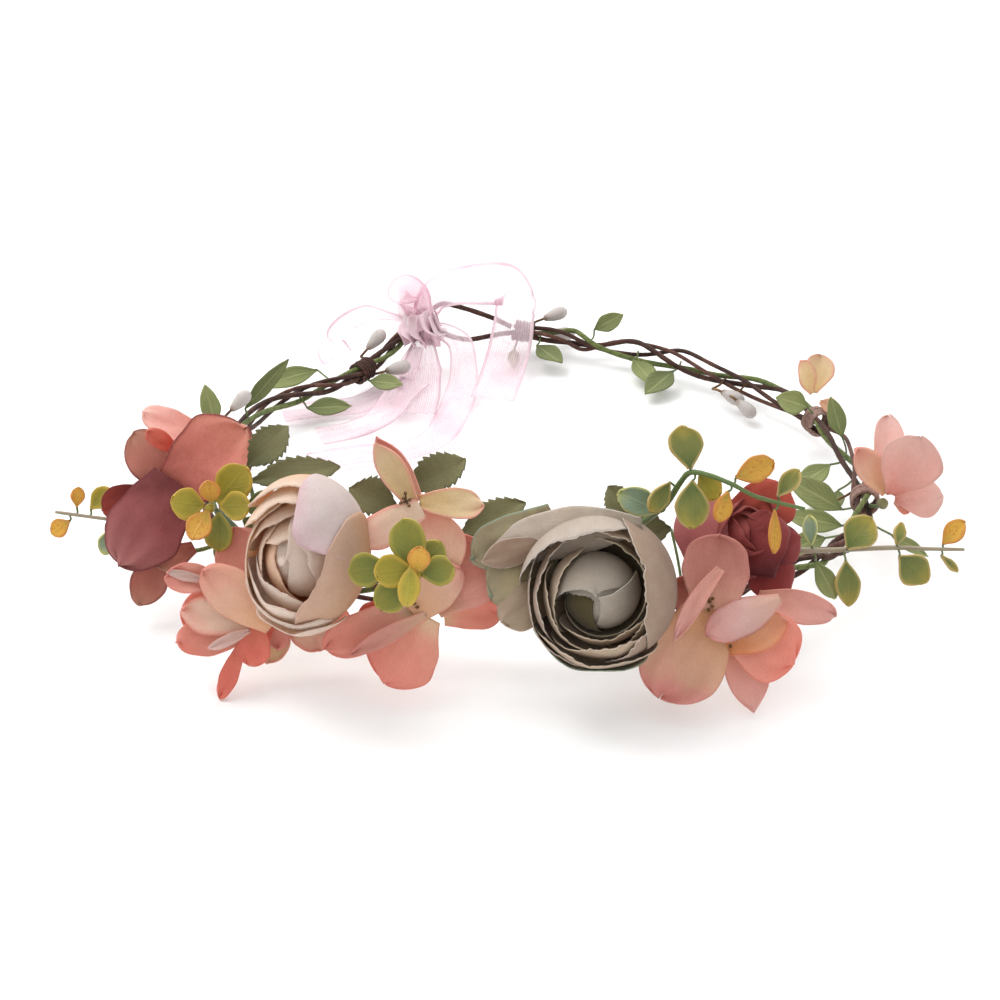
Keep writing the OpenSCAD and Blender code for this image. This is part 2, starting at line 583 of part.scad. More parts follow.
// Each bloom's wire stem, from its back to the ring: [from, to]
stem_specs = [
  [[-97.5, -47, 36], [-92, -38, 21]], [[-77, -83, 20.5], [-72, -65, 18]],
  [[-34.5, -79.5, 51], [-33.5, -76.5, 24.5]],
  [[-34, -89.5, 24], [-33, -79.5, 20]], [[43, -86, 26.8], [42, -76.5, 21]],
  [[50, -94, 17], [49, -75, 17.5]],
  [[-58, -80, 33], [-55, -72, 24.5]], [[14, -87, 29], [13, -80.5, 21.5]]
];
module flower_stems() {
  color(green) solids([for (s = stem_specs) tube([s[0], (s[0] + s[1]) / 2, s[1]], 0.6, 6, [1, 0, 0])]);
}

vine_wire_1();
vine_wire_2();
vine_wire_3();
garland_stem_front();
garland_leaves_left();
left_binding_coil();
left_pips();
left_end_hook();
arm_wire_1();
arm_wire_2();
arm_wire_3();
garland_stem_arm();
garland_leaves_arm();
right_binding_coil();
right_end_loop();
back_pips();
arm_pips();
arm_tape_wrap();
blush_side_petals();
blush_side_calyx();
cream_bud_petals();
ribbon_knot();
bow_loop();
left_bow_loop();
ribbon_fan();
tie_band();
hanging_ribbon_end();
long_ribbon_tail();
left_ribbon_tail();
middle_ribbon_tail();
dusty_floret_petals();
drooping_floret_petals();
blush_back_petals();
left_sprig_stem();
left_sprig_leaves();
left_boxwood_stem();
left_boxwood_leaves();
pink_floret_petals();
buttercream_floret_petals();
cream_ranunculus_core();
cream_ranunculus_inner_petals();
cream_ranunculus_outer_petals();
peach_floret_petals();
coral_floret_petals();
centre_boxwood_stem();
centre_boxwood_leaves();
serrated_leaves();
taupe_ranunculus_core();
taupe_ranunculus_inner_petals();
taupe_ranunculus_outer_petals();
arching_sprig_stem();
arching_sprig_leaves();
burgundy_rose_core();
burgundy_rose_petals();
right_floret_petals();
apricot_floret_petals();
long_sprig_stem();
long_sprig_leaves();
stamens();
flower_stems();
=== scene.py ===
"""Flower crown: how it looks. Lengths in the lists are millimetres from the middle of the wire ring."""
import bpy
import json
import math
import random
import numpy as np
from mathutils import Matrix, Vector


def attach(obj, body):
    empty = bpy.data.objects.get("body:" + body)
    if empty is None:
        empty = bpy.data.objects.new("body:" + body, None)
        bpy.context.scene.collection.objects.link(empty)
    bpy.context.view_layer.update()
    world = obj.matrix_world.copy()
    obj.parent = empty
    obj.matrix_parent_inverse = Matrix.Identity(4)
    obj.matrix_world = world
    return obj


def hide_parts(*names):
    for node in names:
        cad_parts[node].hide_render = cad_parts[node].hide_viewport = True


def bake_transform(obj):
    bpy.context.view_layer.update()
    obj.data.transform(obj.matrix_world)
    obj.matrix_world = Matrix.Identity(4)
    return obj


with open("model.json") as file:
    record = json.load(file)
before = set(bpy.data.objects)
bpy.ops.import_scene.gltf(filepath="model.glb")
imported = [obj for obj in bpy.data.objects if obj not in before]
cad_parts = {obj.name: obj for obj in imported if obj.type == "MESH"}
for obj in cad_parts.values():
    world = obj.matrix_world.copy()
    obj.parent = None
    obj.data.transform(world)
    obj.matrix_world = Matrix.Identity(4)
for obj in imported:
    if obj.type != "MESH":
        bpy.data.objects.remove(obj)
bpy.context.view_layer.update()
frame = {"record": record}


mount = frame["record"]["mounts"][0]
RING = np.array(mount["pos_m"]) * 1000 - np.array([0, 0, 13])
ROOT, ARM = "flower_side", "right_arm"
PETAL_THICK, WRAP_THICK = 0.3, 0.28
BODY_RIM = 9.0  # tubes and turned bodies have no rim near
FACE = 31  # elevation of the camera, which most petals and leaves face
FRONT_STEPS, FRONT_TURNS, ARM_STEPS, ARM_TURNS = 260, 5, 190, 3  # of the twisted wires
CAMERA_AWAY = 0.9
rng = random.Random(7)


# ---------- turns, as matrices, in degrees ----------
def turn(axis, a):
    c, s = math.cos(math.radians(a)), math.sin(math.radians(a))
    if axis == "x":
        return np.array([[1, 0, 0], [0, c, -s], [0, s, c]])
    if axis == "y":
        return np.array([[c, 0, s], [0, 1, 0], [-s, 0, c]])
    return np.array([[c, -s, 0], [s, c, 0], [0, 0, 1]])


def facing(az, el):
    return turn("z", az) @ turn("x", 90 - el)


def unit(v):
    return v / np.maximum(np.linalg.norm(v, axis=-1, keepdims=True), 1e-9)


def smooth(points, count):
    P = np.array(points, float)
    n = len(P) - 1
    out = []
    for k in range(count + 1):
        t = k * n / count
        i = min(int(t), n - 1)
        s = t - i
        a, b, c, d = P[max(i - 1, 0)], P[i], P[i + 1], P[min(i + 2, n)]
        out.append(0.5 * (2 * b + (c - a) * s + (2 * a - 5 * b + 4 * c - d) * s * s
                          + (3 * b - a - 3 * c + d) * s ** 3))
    return np.array(out)


# ---------- a piece gathers closed sheets and tubes into one mesh ----------
class Piece:
    def __init__(self):
        self.co, self.face, self.flat, self.mat, self.pt, self.rim = [], [], [], [], [], []
        self.mats = []
        self.count = 0

    def slot(self, material):
        if material not in self.mats:
            self.mats.append(material)
        return self.mats.index(material)

    def put(self, co, faces, flat, material, pt, rim):
        m = self.slot(material)
        self.co.append(np.asarray(co, float))
        self.pt.append(np.asarray(pt, float))
        self.rim.append(np.asarray(rim, float))
        for f, s in zip(faces, flat):
            self.face.append([i + self.count for i in f])
            self.flat.append(s)
            self.mat.append(m)
        self.count += len(co)

    def sheet(self, G, material, thick):
        """G is a grid of points; u runs along its rows and v across them."""
        m, n = G.shape[0] - 1, G.shape[1] - 1
        du = np.gradient(G, axis=0)
        dv = np.gradient(G, axis=1)
        N = unit(np.cross(du, dv))
        u = np.repeat(np.linspace(0, 1, m + 1)[:, None], n + 1, 1)
        v = np.repeat(np.linspace(-1, 1, n + 1)[None], m + 1, 0)
        width = np.linalg.norm(np.diff(G, axis=1), axis=2).sum(1)[:, None]
        length = np.linalg.norm(np.diff(G, axis=0), axis=2).sum(0)[None]
        rim = np.minimum((1 - abs(v)) * width / 2, (1 - u) * length)
        pt = np.stack([u, v, np.full_like(u, rng.random())], 2).reshape(-1, 3)
        top, low = (G + N * thick / 2).reshape(-1, 3), (G - N * thick / 2).reshape(-1, 3)
        w, c = n + 1, (m + 1) * (n + 1)
        i, j = np.meshgrid(np.arange(m), np.arange(n), indexing="ij")
        a = (i * w + j).ravel()
        up = np.stack([a, a + 1, a + w + 1, a + w], 1)
        down = np.stack([a + c, a + w + c, a + w + 1 + c, a + 1 + c], 1)
        edge = [*range(n), *[k * w + n for k in range(m)], *[m * w + k for k in range(n, 0, -1)],
                *[k * w for k in range(m, 0, -1)]]
        walls = [[p, p + c, q + c, q] for p, q in zip(edge, edge[1:] + edge[:1])]
        self.put(np.concatenate([top, low]), up.tolist(), [False] * len(up), material,
                 np.concatenate([pt, pt]), np.concatenate([rim.ravel(), rim.ravel()]))
        first = self.count - 2 * c
        for f in down.tolist():
            self.face.append([k + first for k in f])
            self.flat.append(False)
            self.mat.append(self.slot(material))
        for f in walls:
            self.face.append([k + first for k in f])
            self.flat.append(True)
            self.mat.append(self.slot(material))

    def skin(self, co, along, sides, material):
        """Joins rings of points into one closed body."""
        k = len(along)
        ang = np.arange(sides) / sides
        faces = [[i * sides + j, i * sides + (j + 1) % sides, (i + 1) * sides + (j + 1) % sides,
                 (i + 1) * sides + j]
                 for i in range(k - 1) for j in range(sides)]
        ends = [list(range(sides))[::-1], [(k - 1) * sides + j for j in range(sides)]]
        pt = np.stack([np.repeat(along[:, None], sides, 1), np.repeat(ang[None], k, 0),
                       np.full((k, sides), rng.random())], 2).reshape(-1, 3)
        self.put(co, faces + ends, [False] * len(faces) + [True, True], material, pt,
            np.full(len(co), BODY_RIM))

    def tube(self, line, radius, material, sides=10, bumpy=0.0):
        n = len(line) - 1
        along = unit(np.gradient(line, axis=0))
        up = np.array([0.0, 0.0, 1.0]) if abs(along[:, 2]).mean() < 0.8 else np.array([1.0, 0, 0])
        u_dir = unit(np.cross(np.repeat(up[None], n + 1, 0), along))
        v_dir = np.cross(along, u_dir)
        radius = np.broadcast_to(np.asarray(radius, float), (n + 1,)).copy()
        radius = radius * (1 + bumpy * np.array([rng.uniform(-1, 1) for _ in range(n + 1)]))
        ang = np.linspace(0, 2 * math.pi, sides, endpoint=False)
        rings = line[:, None] + radius[:, None, None] * (
            np.cos(ang)[None, :, None] * u_dir[:, None] + np.sin(ang)[None, :, None] * v_dir[:, None])
        dist = np.concatenate([[0], np.cumsum(np.linalg.norm(np.diff(line, axis=0), axis=1))])
        self.skin(rings.reshape(-1, 3), dist, sides, material)

    def lathe(self, M, middle, profile, material, sides=20, wobble=0.0):
        """profile is (along, radius) pairs, turned about the local +X of M."""
        ang = np.linspace(0, 2 * math.pi, sides, endpoint=False)
        P = np.array(profile, float)
        k = len(P)
        w = 1 + wobble * np.array([[rng.uniform(-1, 1) for _ in range(sides)] for _ in range(k)])
        local = np.stack([np.repeat(P[:, :1], sides, 1), P[:, 1:] * np.cos(ang) * w,
            P[:, 1:] * np.sin(ang) * w], 2)
        u = (P[:, 0] - P[0, 0]) / max(P[-1, 0] - P[0, 0], 1e-6)
        self.skin(local.reshape(-1, 3) @ M.T + np.array(middle, float), u, sides, material)

    def make(self, name, nodes, body):
        mesh = bpy.data.meshes.new(name)
        co = (np.concatenate(self.co) + RING) / 1000
        mesh.from_pydata(co.tolist(), [], self.face)
        mesh.update()
        for m in self.mats:
            mesh.materials.append(m)
        mesh.polygons.foreach_set("material_index", self.mat)
        mesh.polygons.foreach_set("use_smooth", [not f for f in self.flat])
        a = mesh.attributes.new("pt", "FLOAT_VECTOR", "POINT")
        a.data.foreach_set("vector", np.concatenate(self.pt).astype(np.float32).ravel())
        a = mesh.attributes.new("rim", "FLOAT", "POINT")
        a.data.foreach_set("value", np.concatenate(self.rim).astype(np.float32))
        obj = bpy.data.objects.new(name, mesh)
        bpy.context.scene.collection.objects.link(obj)
        if body:
            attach(obj, body)
        if nodes:
            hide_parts(*nodes)
        return obj


# ---------- node materials ----------
def rgb(code):
    c = [int(code[k:k + 2], 16) / 255 for k in (1, 3, 5)]
    return [x / 12.92 if x <= 0.04045 else ((x + 0.055) / 1.055) ** 2.4 for x in c] + [1.0]


class Nodes:
    def __init__(self, name):
        self.material = bpy.data.materials.new(name)
        self.material.use_nodes = True
        self.tree = self.material.node_tree
        self.tree.nodes.clear()
        self.out = self.new("OutputMaterial")

    def new(self, kind, **values):
        n = self.tree.nodes.new("ShaderNode" + kind)
        for k, v in values.items():
            setattr(n, k, v)
        return n

    def link(self, a, b):
        self.tree.links.new(a, b)

    def start(self):
        """The three numbers at each point, and the place on the object."""
        part = self.new("SeparateXYZ")
        self.link(self.attribute("pt").outputs["Vector"], part.inputs[0])
        return part.outputs, self.new("TexCoord").outputs["Object"]

    def value(self, socket, v):
        if hasattr(v, "is_linked"):
            self.link(v, socket)
        else:
            socket.default_value = v

    def math(self, op, a, b=0.0, c=0.0, clamp=False):
        n = self.new("Math", operation=op, use_clamp=clamp)
        for s, v in zip(n.inputs, (a, b, c)):
            self.value(s, v)
        return n.outputs[0]

    def add(self, a, b, clamp=False):
        return self.math("ADD", a, b, clamp=clamp)

    def mul(self, a, b):
        return self.math("MULTIPLY", a, b)

    def sway(self, a, amount):
        """A noise about nought."""
        return self.mul(self.math("SUBTRACT", a, 0.5), amount)

    def vary(self, colour, r, amount):
        """Each petal or leaf is a little lighter or darker than the next."""
        lift = self.new("HueSaturation")
        self.link(self.math("MULTIPLY_ADD", r, amount, 1 - amount / 2), lift.inputs["Value"])
        self.link(colour, lift.inputs["Color"])
        return lift.outputs[0]

    def mix(self, kind, fac, a, b):
        n = self.new("Mix", data_type="RGBA", blend_type=kind)
        self.value(n.inputs[0], fac)
        self.value(n.inputs[6], a)
        self.value(n.inputs[7], b)
        return n.outputs[2]

    def ramp(self, fac, stops):
        """stops is places and colours in turn, as in "0 #c0a080 1 #ffffff"."""
        n = self.new("ValToRGB")
        e = n.color_ramp.elements
        words = stops.split()
        while len(e) < len(words) // 2:
            e.new(0.5)
        for k, (p, c) in enumerate(zip(words[::2], words[1::2])):
            e[k].position = float(p)
            e[k].color = rgb(c)
        self.link(fac, n.inputs[0])
        return n.outputs[0]

    def attribute(self, name):
        return self.new("Attribute", attribute_name=name)

    def noise(self, vector, scale, detail=3.0, rough=0.55):
        n = self.new("TexNoise")
        n.inputs["Scale"].default_value = scale
        n.inputs["Detail"].default_value = detail
        n.inputs["Roughness"].default_value = rough
        self.link(vector, n.inputs["Vector"])
        return n.outputs["Fac"]

    def span(self, v, a, b, c=0.0, d=1.0):
        n = self.new("MapRange", clamp=True)
        self.link(v, n.inputs["Value"])
        for s, x in zip(("From Min", "From Max", "To Min", "To Max"), (a, b, c, d)):
            n.inputs[s].default_value = x
        return n.outputs[0]

    def bump(self, height, strength, distance=0.0004):
        n = self.new("Bump")
        n.inputs["Strength"].default_value = strength
        n.inputs["Distance"].default_value = distance
        self.link(height, n.inputs["Height"])
        return n.outputs[0]

    def shader(self, colour, rough, normal=None, through=0.0, sheen=0.0, specular=0.5, coat=0.0):
        p = self.new("BsdfPrincipled")
        self.value(p.inputs["Base Color"], colour)
        self.value(p.inputs["Roughness"], rough)
        p.inputs["Specular IOR Level"].default_value = specular
        p.inputs["Sheen Weight"].default_value = sheen
        p.inputs["Coat Weight"].default_value = coat
        if normal is not None:
            self.link(normal, p.inputs["Normal"])
        if not through:
            return p.outputs[0]
        t = self.new("BsdfTranslucent")
        self.value(t.inputs["Color"], colour)
        if normal is not None:
            self.link(normal, t.inputs["Normal"])
        m = self.new("MixShader")
        m.inputs[0].default_value = through
        self.link(p.outputs[0], m.inputs[1])
        self.link(t.outputs[0], m.inputs[2])
        return m.outputs[0]

    def done(self, surface):
        self.link(surface, self.out.inputs["Surface"])
        return self.material


mat = {}
BLOT = "#e2c4bc"  # faint blotches in dyed cloth


def cloth(name, stops, rim=None, rim_mm=0.6, veins=0.12, vein_count=26.0, vein_tint="#d0a8a0",
          speck=None, patch=None, rough=0.82, through=0.3, rim_amt=0.45):
    """Dyed woven cloth: colour runs from the petal's base to its tip, with veins, patches and a rim."""
    N = Nodes(name)
    (u, v, r), place = N.start()
    broad = N.noise(place, 140.0, 2.0)
    cloud = N.noise(place, 260.0, 3.0, 0.6)
    fine = N.noise(place, 900.0, 4.0, 0.65)
    weave = N.noise(place, 3200.0, 2.0)
    along = N.add(u, N.sway(broad, 0.5), True)
    colour = N.ramp(along, stops)
    colour = N.vary(colour, r, 0.16)
    bent = N.add(N.sway(broad, 0.5), N.sway(fine, 0.2))
    fan = N.mul(N.add(v, bent), vein_count)
    line = N.math("POWER", N.math("ABSOLUTE", N.math("SINE", fan)), 0.6)
    depth = N.mul(N.span(line, 0.0, 1.0, veins, 0.0), N.span(cloud, 0.35, 0.65, 0.15, 1.0))
    colour = N.mix("MULTIPLY", depth, colour, rgb(vein_tint))
    colour = N.mix("MULTIPLY", N.span(cloud, 0.62, 0.4, 0.0, 0.14), colour, rgb(BLOT))
    if patch:
        colour = N.mix("MIX", N.span(broad, 0.5, 0.72, 0.0, 0.35), colour, rgb(patch))
    if speck:
        colour = N.mix("MIX", N.span(fine, 0.6, 0.68, 0.0, 0.3), colour, rgb(speck))
    if rim:
        edge = N.attribute("rim").outputs["Fac"]
        edge = N.add(edge, N.sway(fine, rim_mm))
        colour = N.mix("MIX", N.span(edge, 0.0, rim_mm, rim_amt, 0.0), colour, rgb(rim))
    colour = N.mix("MULTIPLY", 0.25, colour, N.ramp(weave, "0.3 #c8c0ba 0.65 #ffffff"))
    height = N.add(N.mul(line, 0.15), N.add(N.mul(weave, 0.3),
                    N.mul(fine, 0.5)))
    mat[name] = N.done(N.shader(colour, rough, N.bump(height, 0.35), through, 0.15, 0.25))


def moulded(name, stops, rim=None, rim_mm=0.8, speck=None, speck_amt=0.7, midrib="#ffffff", rib=0.25,
            ribs=9.0, rough=0.42, through=0.25, specular=0.5):
    """Moulded soft leaf: a midrib, side veins that run forward, a paler rim and specks."""
    N = Nodes(name)
    (u, v, r), place = N.start()
    broad = N.noise(place, 260.0, 2.0)
    fine = N.noise(place, 1300.0, 3.0, 0.6)
    along = N.add(u, N.sway(broad, 0.55), clamp=True)
    colour = N.ramp(along, stops)
    colour = N.vary(colour, r, 0.24)
    side = N.math("ABSOLUTE", v)
    middle = N.span(side, 0.03, 0.14, 1.0, 0.0)
    vein = N.math("SINE", N.mul(N.math("SUBTRACT", u, N.mul(side, 0.35)), ribs * 6.28))
    vein = N.span(vein, 0.75, 1.0)
    mark = N.math("MAXIMUM", middle, N.mul(vein, 0.6))
    colour = N.mix("MIX", N.mul(mark, rib), colour, rgb(midrib))
    if speck:
        colour = N.mix("MIX", N.mul(N.span(fine, 0.56, 0.64), speck_amt), colour, rgb(speck))
    if rim:
        edge = N.attribute("rim").outputs["Fac"]
        colour = N.mix("MIX", N.span(edge, 0.0, rim_mm, 0.85, 0.0), colour, rgb(rim))
    rough_out = N.span(broad, 0.3, 0.7, rough - 0.08, rough + 0.1)
    height = N.add(N.mul(mark, -0.8), N.mul(fine, 0.35))
    mat[name] = N.done(N.shader(colour, rough_out, N.bump(height, 0.4), through, 0.0, specular))


def wrapped_wire(name, stops, pitch=2.6, rough=0.8, bump=0.7):
    """Paper or tape wound round a wire: slanted seams and fibres."""
    N = Nodes(name)
    (u, v, r), place = N.start()
    broad = N.noise(place, 160.0, 3.0)
    fine = N.noise(place, 2200.0, 4.0, 0.7)
    turnof = N.add(N.math("DIVIDE", u, pitch), N.add(v, r))
    seam = N.math("FRACT", turnof)
    dark = N.span(seam, 0.0, 0.22, 0.55, 0.0)
    tone = N.add(N.mul(broad, 0.7), N.mul(fine, 0.4))
    colour = N.ramp(tone, stops)
    colour = N.mix("MULTIPLY", dark, colour, rgb("#50423c"))
    height = N.add(seam, N.mul(fine, 0.5))
    mat[name] = N.done(N.shader(colour, rough, N.bump(height, bump), 0.0, 0.1, 0.3))


def organza(name, tint, middle=0.45, edge=0.92, threads=60.0, through=0.45):
    """Sheer ribbon: fine threads, denser satin edges."""
    N = Nodes(name)
    (u, v, r), place = N.start()
    broad = N.noise(place, 90.0, 2.0)
    fine = N.noise(place, 2600.0, 2.0)
    side = N.math("ABSOLUTE", v)
    satin = N.span(side, 0.82, 0.9)
    thread = N.math("SINE", N.mul(v, threads))
    dense = N.add(N.mul(satin, edge - middle), middle)
    dense = N.add(dense, N.mul(thread, 0.05))
    dense = N.add(dense, N.sway(fine, 0.3), clamp=True)
    colour = N.mix("MIX", N.span(broad, 0.35, 0.7), rgb(tint), rgb("#fdeff3"))
    height = N.add(N.mul(thread, 0.3), fine)
    body = N.shader(colour, 0.45, N.bump(height, 0.2), through, 0.3, 0.5)
    clear = N.new("BsdfTransparent")
    m = N.new("MixShader")
    N.link(dense, m.inputs[0])
    N.link(clear.outputs[0], m.inputs[1])
    N.link(body, m.inputs[2])
    mat[name] = N.done(m.outputs[0])


cloth("terracotta", "0 #bc645a 0.35 #e8988a 1 #f0ae98", "#8c3c3c", 0.9, speck="#a8584c", rim_amt=0.85)
cloth("mauve", "0 #7c3c3c 0.4 #a86060 1 #b87c78", "#743034", 0.9, speck="#90504c", rim_amt=0.85)
cloth("tan", "0 #b46c60 0.5 #d49080 1 #dcac94", "#9c5854", 0.8, rim_amt=0.8)
cloth("darkred", "0 #843834 1 #bc584c", "#6c2c30", 0.5)
cloth("blush", "0 #f4a494 0.25 #fcc8bc 1 #fcdcd4", "#f4ccc4", 0.5, veins=0.1)
cloth("blush_fold", "0 #e4644c 1 #f49884", veins=0.12)
cloth("pink", "0 #f0c8ac 0.35 #eeb4a4 1 #e89c90", "#f0988c", 0.5, veins=0.14)
cloth("pink_pale", "0 #ecc098 0.5 #f0c8b0 1 #eca898", "#f4a094", 0.5, veins=0.12)
cloth("coral", "0 #f4dcbc 0.3 #f4b4a0 1 #f4a090", "#f48c7c", 0.5, veins=0.14)
cloth("coral_deep", "0 #f09880 0.5 #f08c7c 1 #f49884", "#e47868", 0.5, veins=0.14)
cloth("peachcream", "0 #ecd094 0.6 #f4e0b8 1 #f4d0b4", "#f4b4a4", 1.0, veins=0.08, rim_amt=0.8)
cloth("white_back", "0 #e4c0b4 1 #ecd4cc", "#ecc8c0", 0.6, veins=0.08)
thin = {"veins": 0.06, "through": 0.4}
cloth("cream", "0 #f2cca0 0.3 #f6e0cc 1 #f8ece0", "#e8ccc0", 0.5, **thin)
cloth("cream_deep", "0 #e49858 0.45 #f0c498 1 #f8dcc4", "#e8c4ac", 0.5, **thin)
cloth("cream_pink", "0 #e0d2cc 0.6 #e0d4d2 1 #e4ccd0", "#f0c8d0", 1.2, veins=0.06, through=0.35)
cloth("cream_warm", "0 #ecb884 0.4 #f4d8b8 1 #f8e8d8", "#e8c8b4", 0.5, **thin)
# A darker copy of cream_warm: painted shade for the front outer petal of the cream bloom.
cloth("cream_painted_shade", "0 #d8a070 0.4 #dcb898 1 #e0c4b0", "#e8c8b4", 0.5, **thin)
dusty = {"veins": 0.08, "vein_tint": "#a49478", "rim_amt": 0.7}
cloth("taupe", "0 #908060 0.4 #b4a088 1 #ccbaa4", "#f0e0c8", 0.35, veins=0.08, vein_tint="#a89474",
    rim_amt=0.7)
cloth("taupe_pink", "0 #84705e 0.4 #a88e7a 1 #c0a894", "#ece0d4", 0.35, **dusty)
cloth("taupe_deep", "0 #6c6040 0.35 #9c8a68 0.8 #b8a68a 1 #c4b49c", "#ece0c4", 0.35, veins=0.1,
    vein_tint="#8c7c58", rim_amt=0.7)
cloth("taupe_pale", "0 #a49888 0.5 #ccbeae 1 #d8ccc0", "#ece4dc", 0.35, **dusty)
cloth("taupe_bud", "0 #94887a 0.5 #b0a698 1 #c0b6a8", "#e4e0d4", 0.35, veins=0.08, vein_tint="#a4947c",
    rim_amt=0.7)
cloth("taupe_dark", "0 #403820 1 #645838", veins=0.3, vein_tint="#302c14", rim_amt=0.5)
cloth("sage", "0 #8c8464 0.6 #aca084 1 #b8ac90", "#94ac98", 0.7, veins=0.14, vein_tint="#989860",
    patch="#ccbc8c", rim_amt=0.9)
cloth("rose", "0 #582024 0.45 #944040 1 #ac5854", "#7c3034", 0.4, veins=0.12)
cloth("rose_orange", "0 #8c3430 0.6 #c05848 1 #d06454", "#a0443c", 0.4, veins=0.12)
cloth("rose_mauve", "0 #985050 0.5 #c47878 1 #d4908c", "#b06460", 0.5, veins=0.12)
cloth("dusty_pink", "0 #e8bca4 0.4 #d4988c 1 #cc887c", "#d48880", 0.6, veins=0.16)
cloth("cream_rim", "0 #f4e0c8 0.55 #f4d8c4 1 #f4b8a8", "#f09888", 1.4, veins=0.3, vein_count=40.0,
    vein_tint="#e0a094", rim_amt=0.7)
cloth("cream_blush", "0 #e8bc90 0.5 #e6bca2 0.75 #e6a49a 1 #e29c92", "#e09488", 0.7, veins=0.16,
    vein_count=34.0, vein_tint="#d8a890")
cloth("pale_rose", "0 #ecb8a4 0.5 #f0bcb0 1 #f0c0b8", "#e89c90", 0.6)
cloth("hood", "0 #f0c8b4 0.5 #f4ccc4 1 #f0b0a8", "#e88c84", 1.0)
cloth("apricot", "0 #e89c68 0.5 #f0b48c 1 #eca484", "#e07858", 0.8, veins=0.16)
cloth("leaf_dark", "0 #606040 0.5 #80805c 1 #94946c", "#58583c", 0.4, veins=0.35, vein_count=11.0,
    vein_tint="#d4ccac", rough=0.75, through=0.12)
moulded("garland", "0 #6c7844 0.6 #868e58 1 #98a06c", midrib="#d8d498", rough=0.65, through=0.12)
moulded("garland_dark", "0 #5c6838 1 #7c8450", midrib="#c4c888", rough=0.65, through=0.1)
waxy = {"rib": 0.06, "through": 0.1}
moulded("boxwood", "0 #646c2c 0.5 #808434 1 #988c34", "#b4a444", 1.3, speck="#6c7430", speck_amt=0.3,
    midrib="#8c9044", **waxy)
moulded("boxwood_yellow", "0 #8c8424 0.5 #a09428 1 #b09c34", "#ccaa3c", 1.5, speck="#8c7c24",
    speck_amt=0.35, midrib="#a8a050", **waxy)
moulded("boxwood_orange", "0 #a89830 0.35 #d4a038 1 #dca83c", "#d08838", 1.2, speck="#bc6c1c",
    speck_amt=0.6, midrib="#d4ac48", **waxy)
moulded("sprig", "0 #58682c 0.5 #7c803c 1 #b09c3c", "#c8ac68", 0.8, midrib="#aca068", **waxy)
moulded("sprig_grey", "0 #7c946c 0.6 #98ac90 1 #c4c880", "#d8d484", 0.6, midrib="#ccd4b8", rib=0.15)
moulded("stem", "0 #48583c 1 #60743c", midrib="#708850", rib=0.0, through=0.0)
moulded("stem_grey", "0 #748c78 0.6 #849884 1 #9c9078", midrib="#849884", rib=0.0, through=0.0)
moulded("pip", "0 #745840 0.14 #b0a49c 0.3 #c4bcb8 1 #c8c0bc", speck="#b0a8a0", speck_amt=0.4, rib=0.0,
    rough=0.5, through=0.1)
wrapped_wire("wire", "0.3 #2c1814 0.55 #442c24 0.8 #684438")
wrapped_wire("wire_light", "0.3 #3c2520 0.55 #5b3b32 0.8 #84604f", 3.1)
wrapped_wire("tape", "0.3 #6b4a40 0.55 #94756a 0.8 #b59a8e", 1.6, 0.75, 0.9)
wrapped_wire("stem_tape", "0.3 #4c5c30 0.55 #687440 0.8 #80884c", 3.4)
wrapped_wire("fibre", "0.3 #3d2818 0.55 #6a4a2c 0.8 #a07840", 1.0)
organza("ribbon", "#f2d8e2", 0.36, 0.85)
organza("ribbon_fold", "#f2ccda", 0.5, 0.9)
organza("knot", "#ffdce8", 0.95, 1.0, through=0.1)


# ---------- petals, leaves and blooms ----------
def outline(rows, widest, neck, point):
    """Rows along a petal and its half width there: a neck, the widest place, then a round or pointed end."""
    t = np.linspace(0, 1, rows + 1)[:, None]
    u = np.where(t < 0.5, widest * t / 0.5,
        widest + (1 - widest) * np.sin(math.pi * np.clip(t - 0.5, 0, 0.5)))
    low = neck + (1 - neck) * np.sin(math.pi / 2 * np.clip(u / widest, 0, 1)) ** 1.2
    high = np.clip(1 - (np.clip(u - widest, 0, 1) / (1 - widest)) ** 2, 0.0004, 1) ** point
    return u, np.where(u < widest, low, high)


def petal_grid(length, width, cup=0.3, curl=0.0, widest=0.6, ruffle=0.5, notch=0.0, fray=0.0, teeth=0,
               rows=22, cols=16, neck=0.2, point=0.5, bend=0.0):
    """A petal along +X from its base. Its face is +Z. bend curves it sideways."""
    u, w = outline(rows, widest, neck, point)
    v = np.linspace(-1, 1, cols + 1)[None]
    p = [rng.uniform(0, 6.28) for _ in range(8)]
    half = width / 2 * w * (1 + 0.04 * np.sin(5 * u + p[0]) + 0.012 * np.sin(19 * u + p[1]))
    if teeth:
        saw = (u * teeth) % 1
        half = half * (1 - 0.2 * saw * (u > 0.05) * (u < 0.97))
    half = half * np.ones_like(v)
    half = half * (1 + 0.035 * ruffle * np.sin(13 * u + p[0]) * u)
    half = np.where(v < 0, half * (1 + 0.07 * np.sin(4 * u + p[2])), half)
    y = half * v + bend * length * (u * u - u)
    tip = length * (1 + notch * (np.abs(v) ** 0.8 - 0.6) * u ** 3 + 0.02 * np.sin(5 * v + p[3]) * u)
    x = tip * u + fray * (u ** 8) * np.array([[rng.uniform(-1, 1) for _ in range(cols + 1)]])
    z = cup * half * v * v + curl * length * u * u
    z = z + ruffle * v * v * u * np.sin(6 * u + p[5] + 1.5 * np.sign(v))
    z = z + 0.5 * ruffle * u ** 3 * np.sin(4 * v + p[6])
    z = z + 0.3 * ruffle * np.sin(9 * u + p[4]) * np.sin(5 * v + p[7])
    z = z + 0.35 * ruffle * u ** 1.5 * np.sin(11 * v + p[1]) * (0.4 + 0.6 * v * v) * width / 15
    z = z - 0.012 * width * np.exp(-(v / 0.14) ** 2) * np.sin(math.pi * np.clip(u, 0, 1))
    return np.stack([x, y * np.ones_like(x), z], 2)


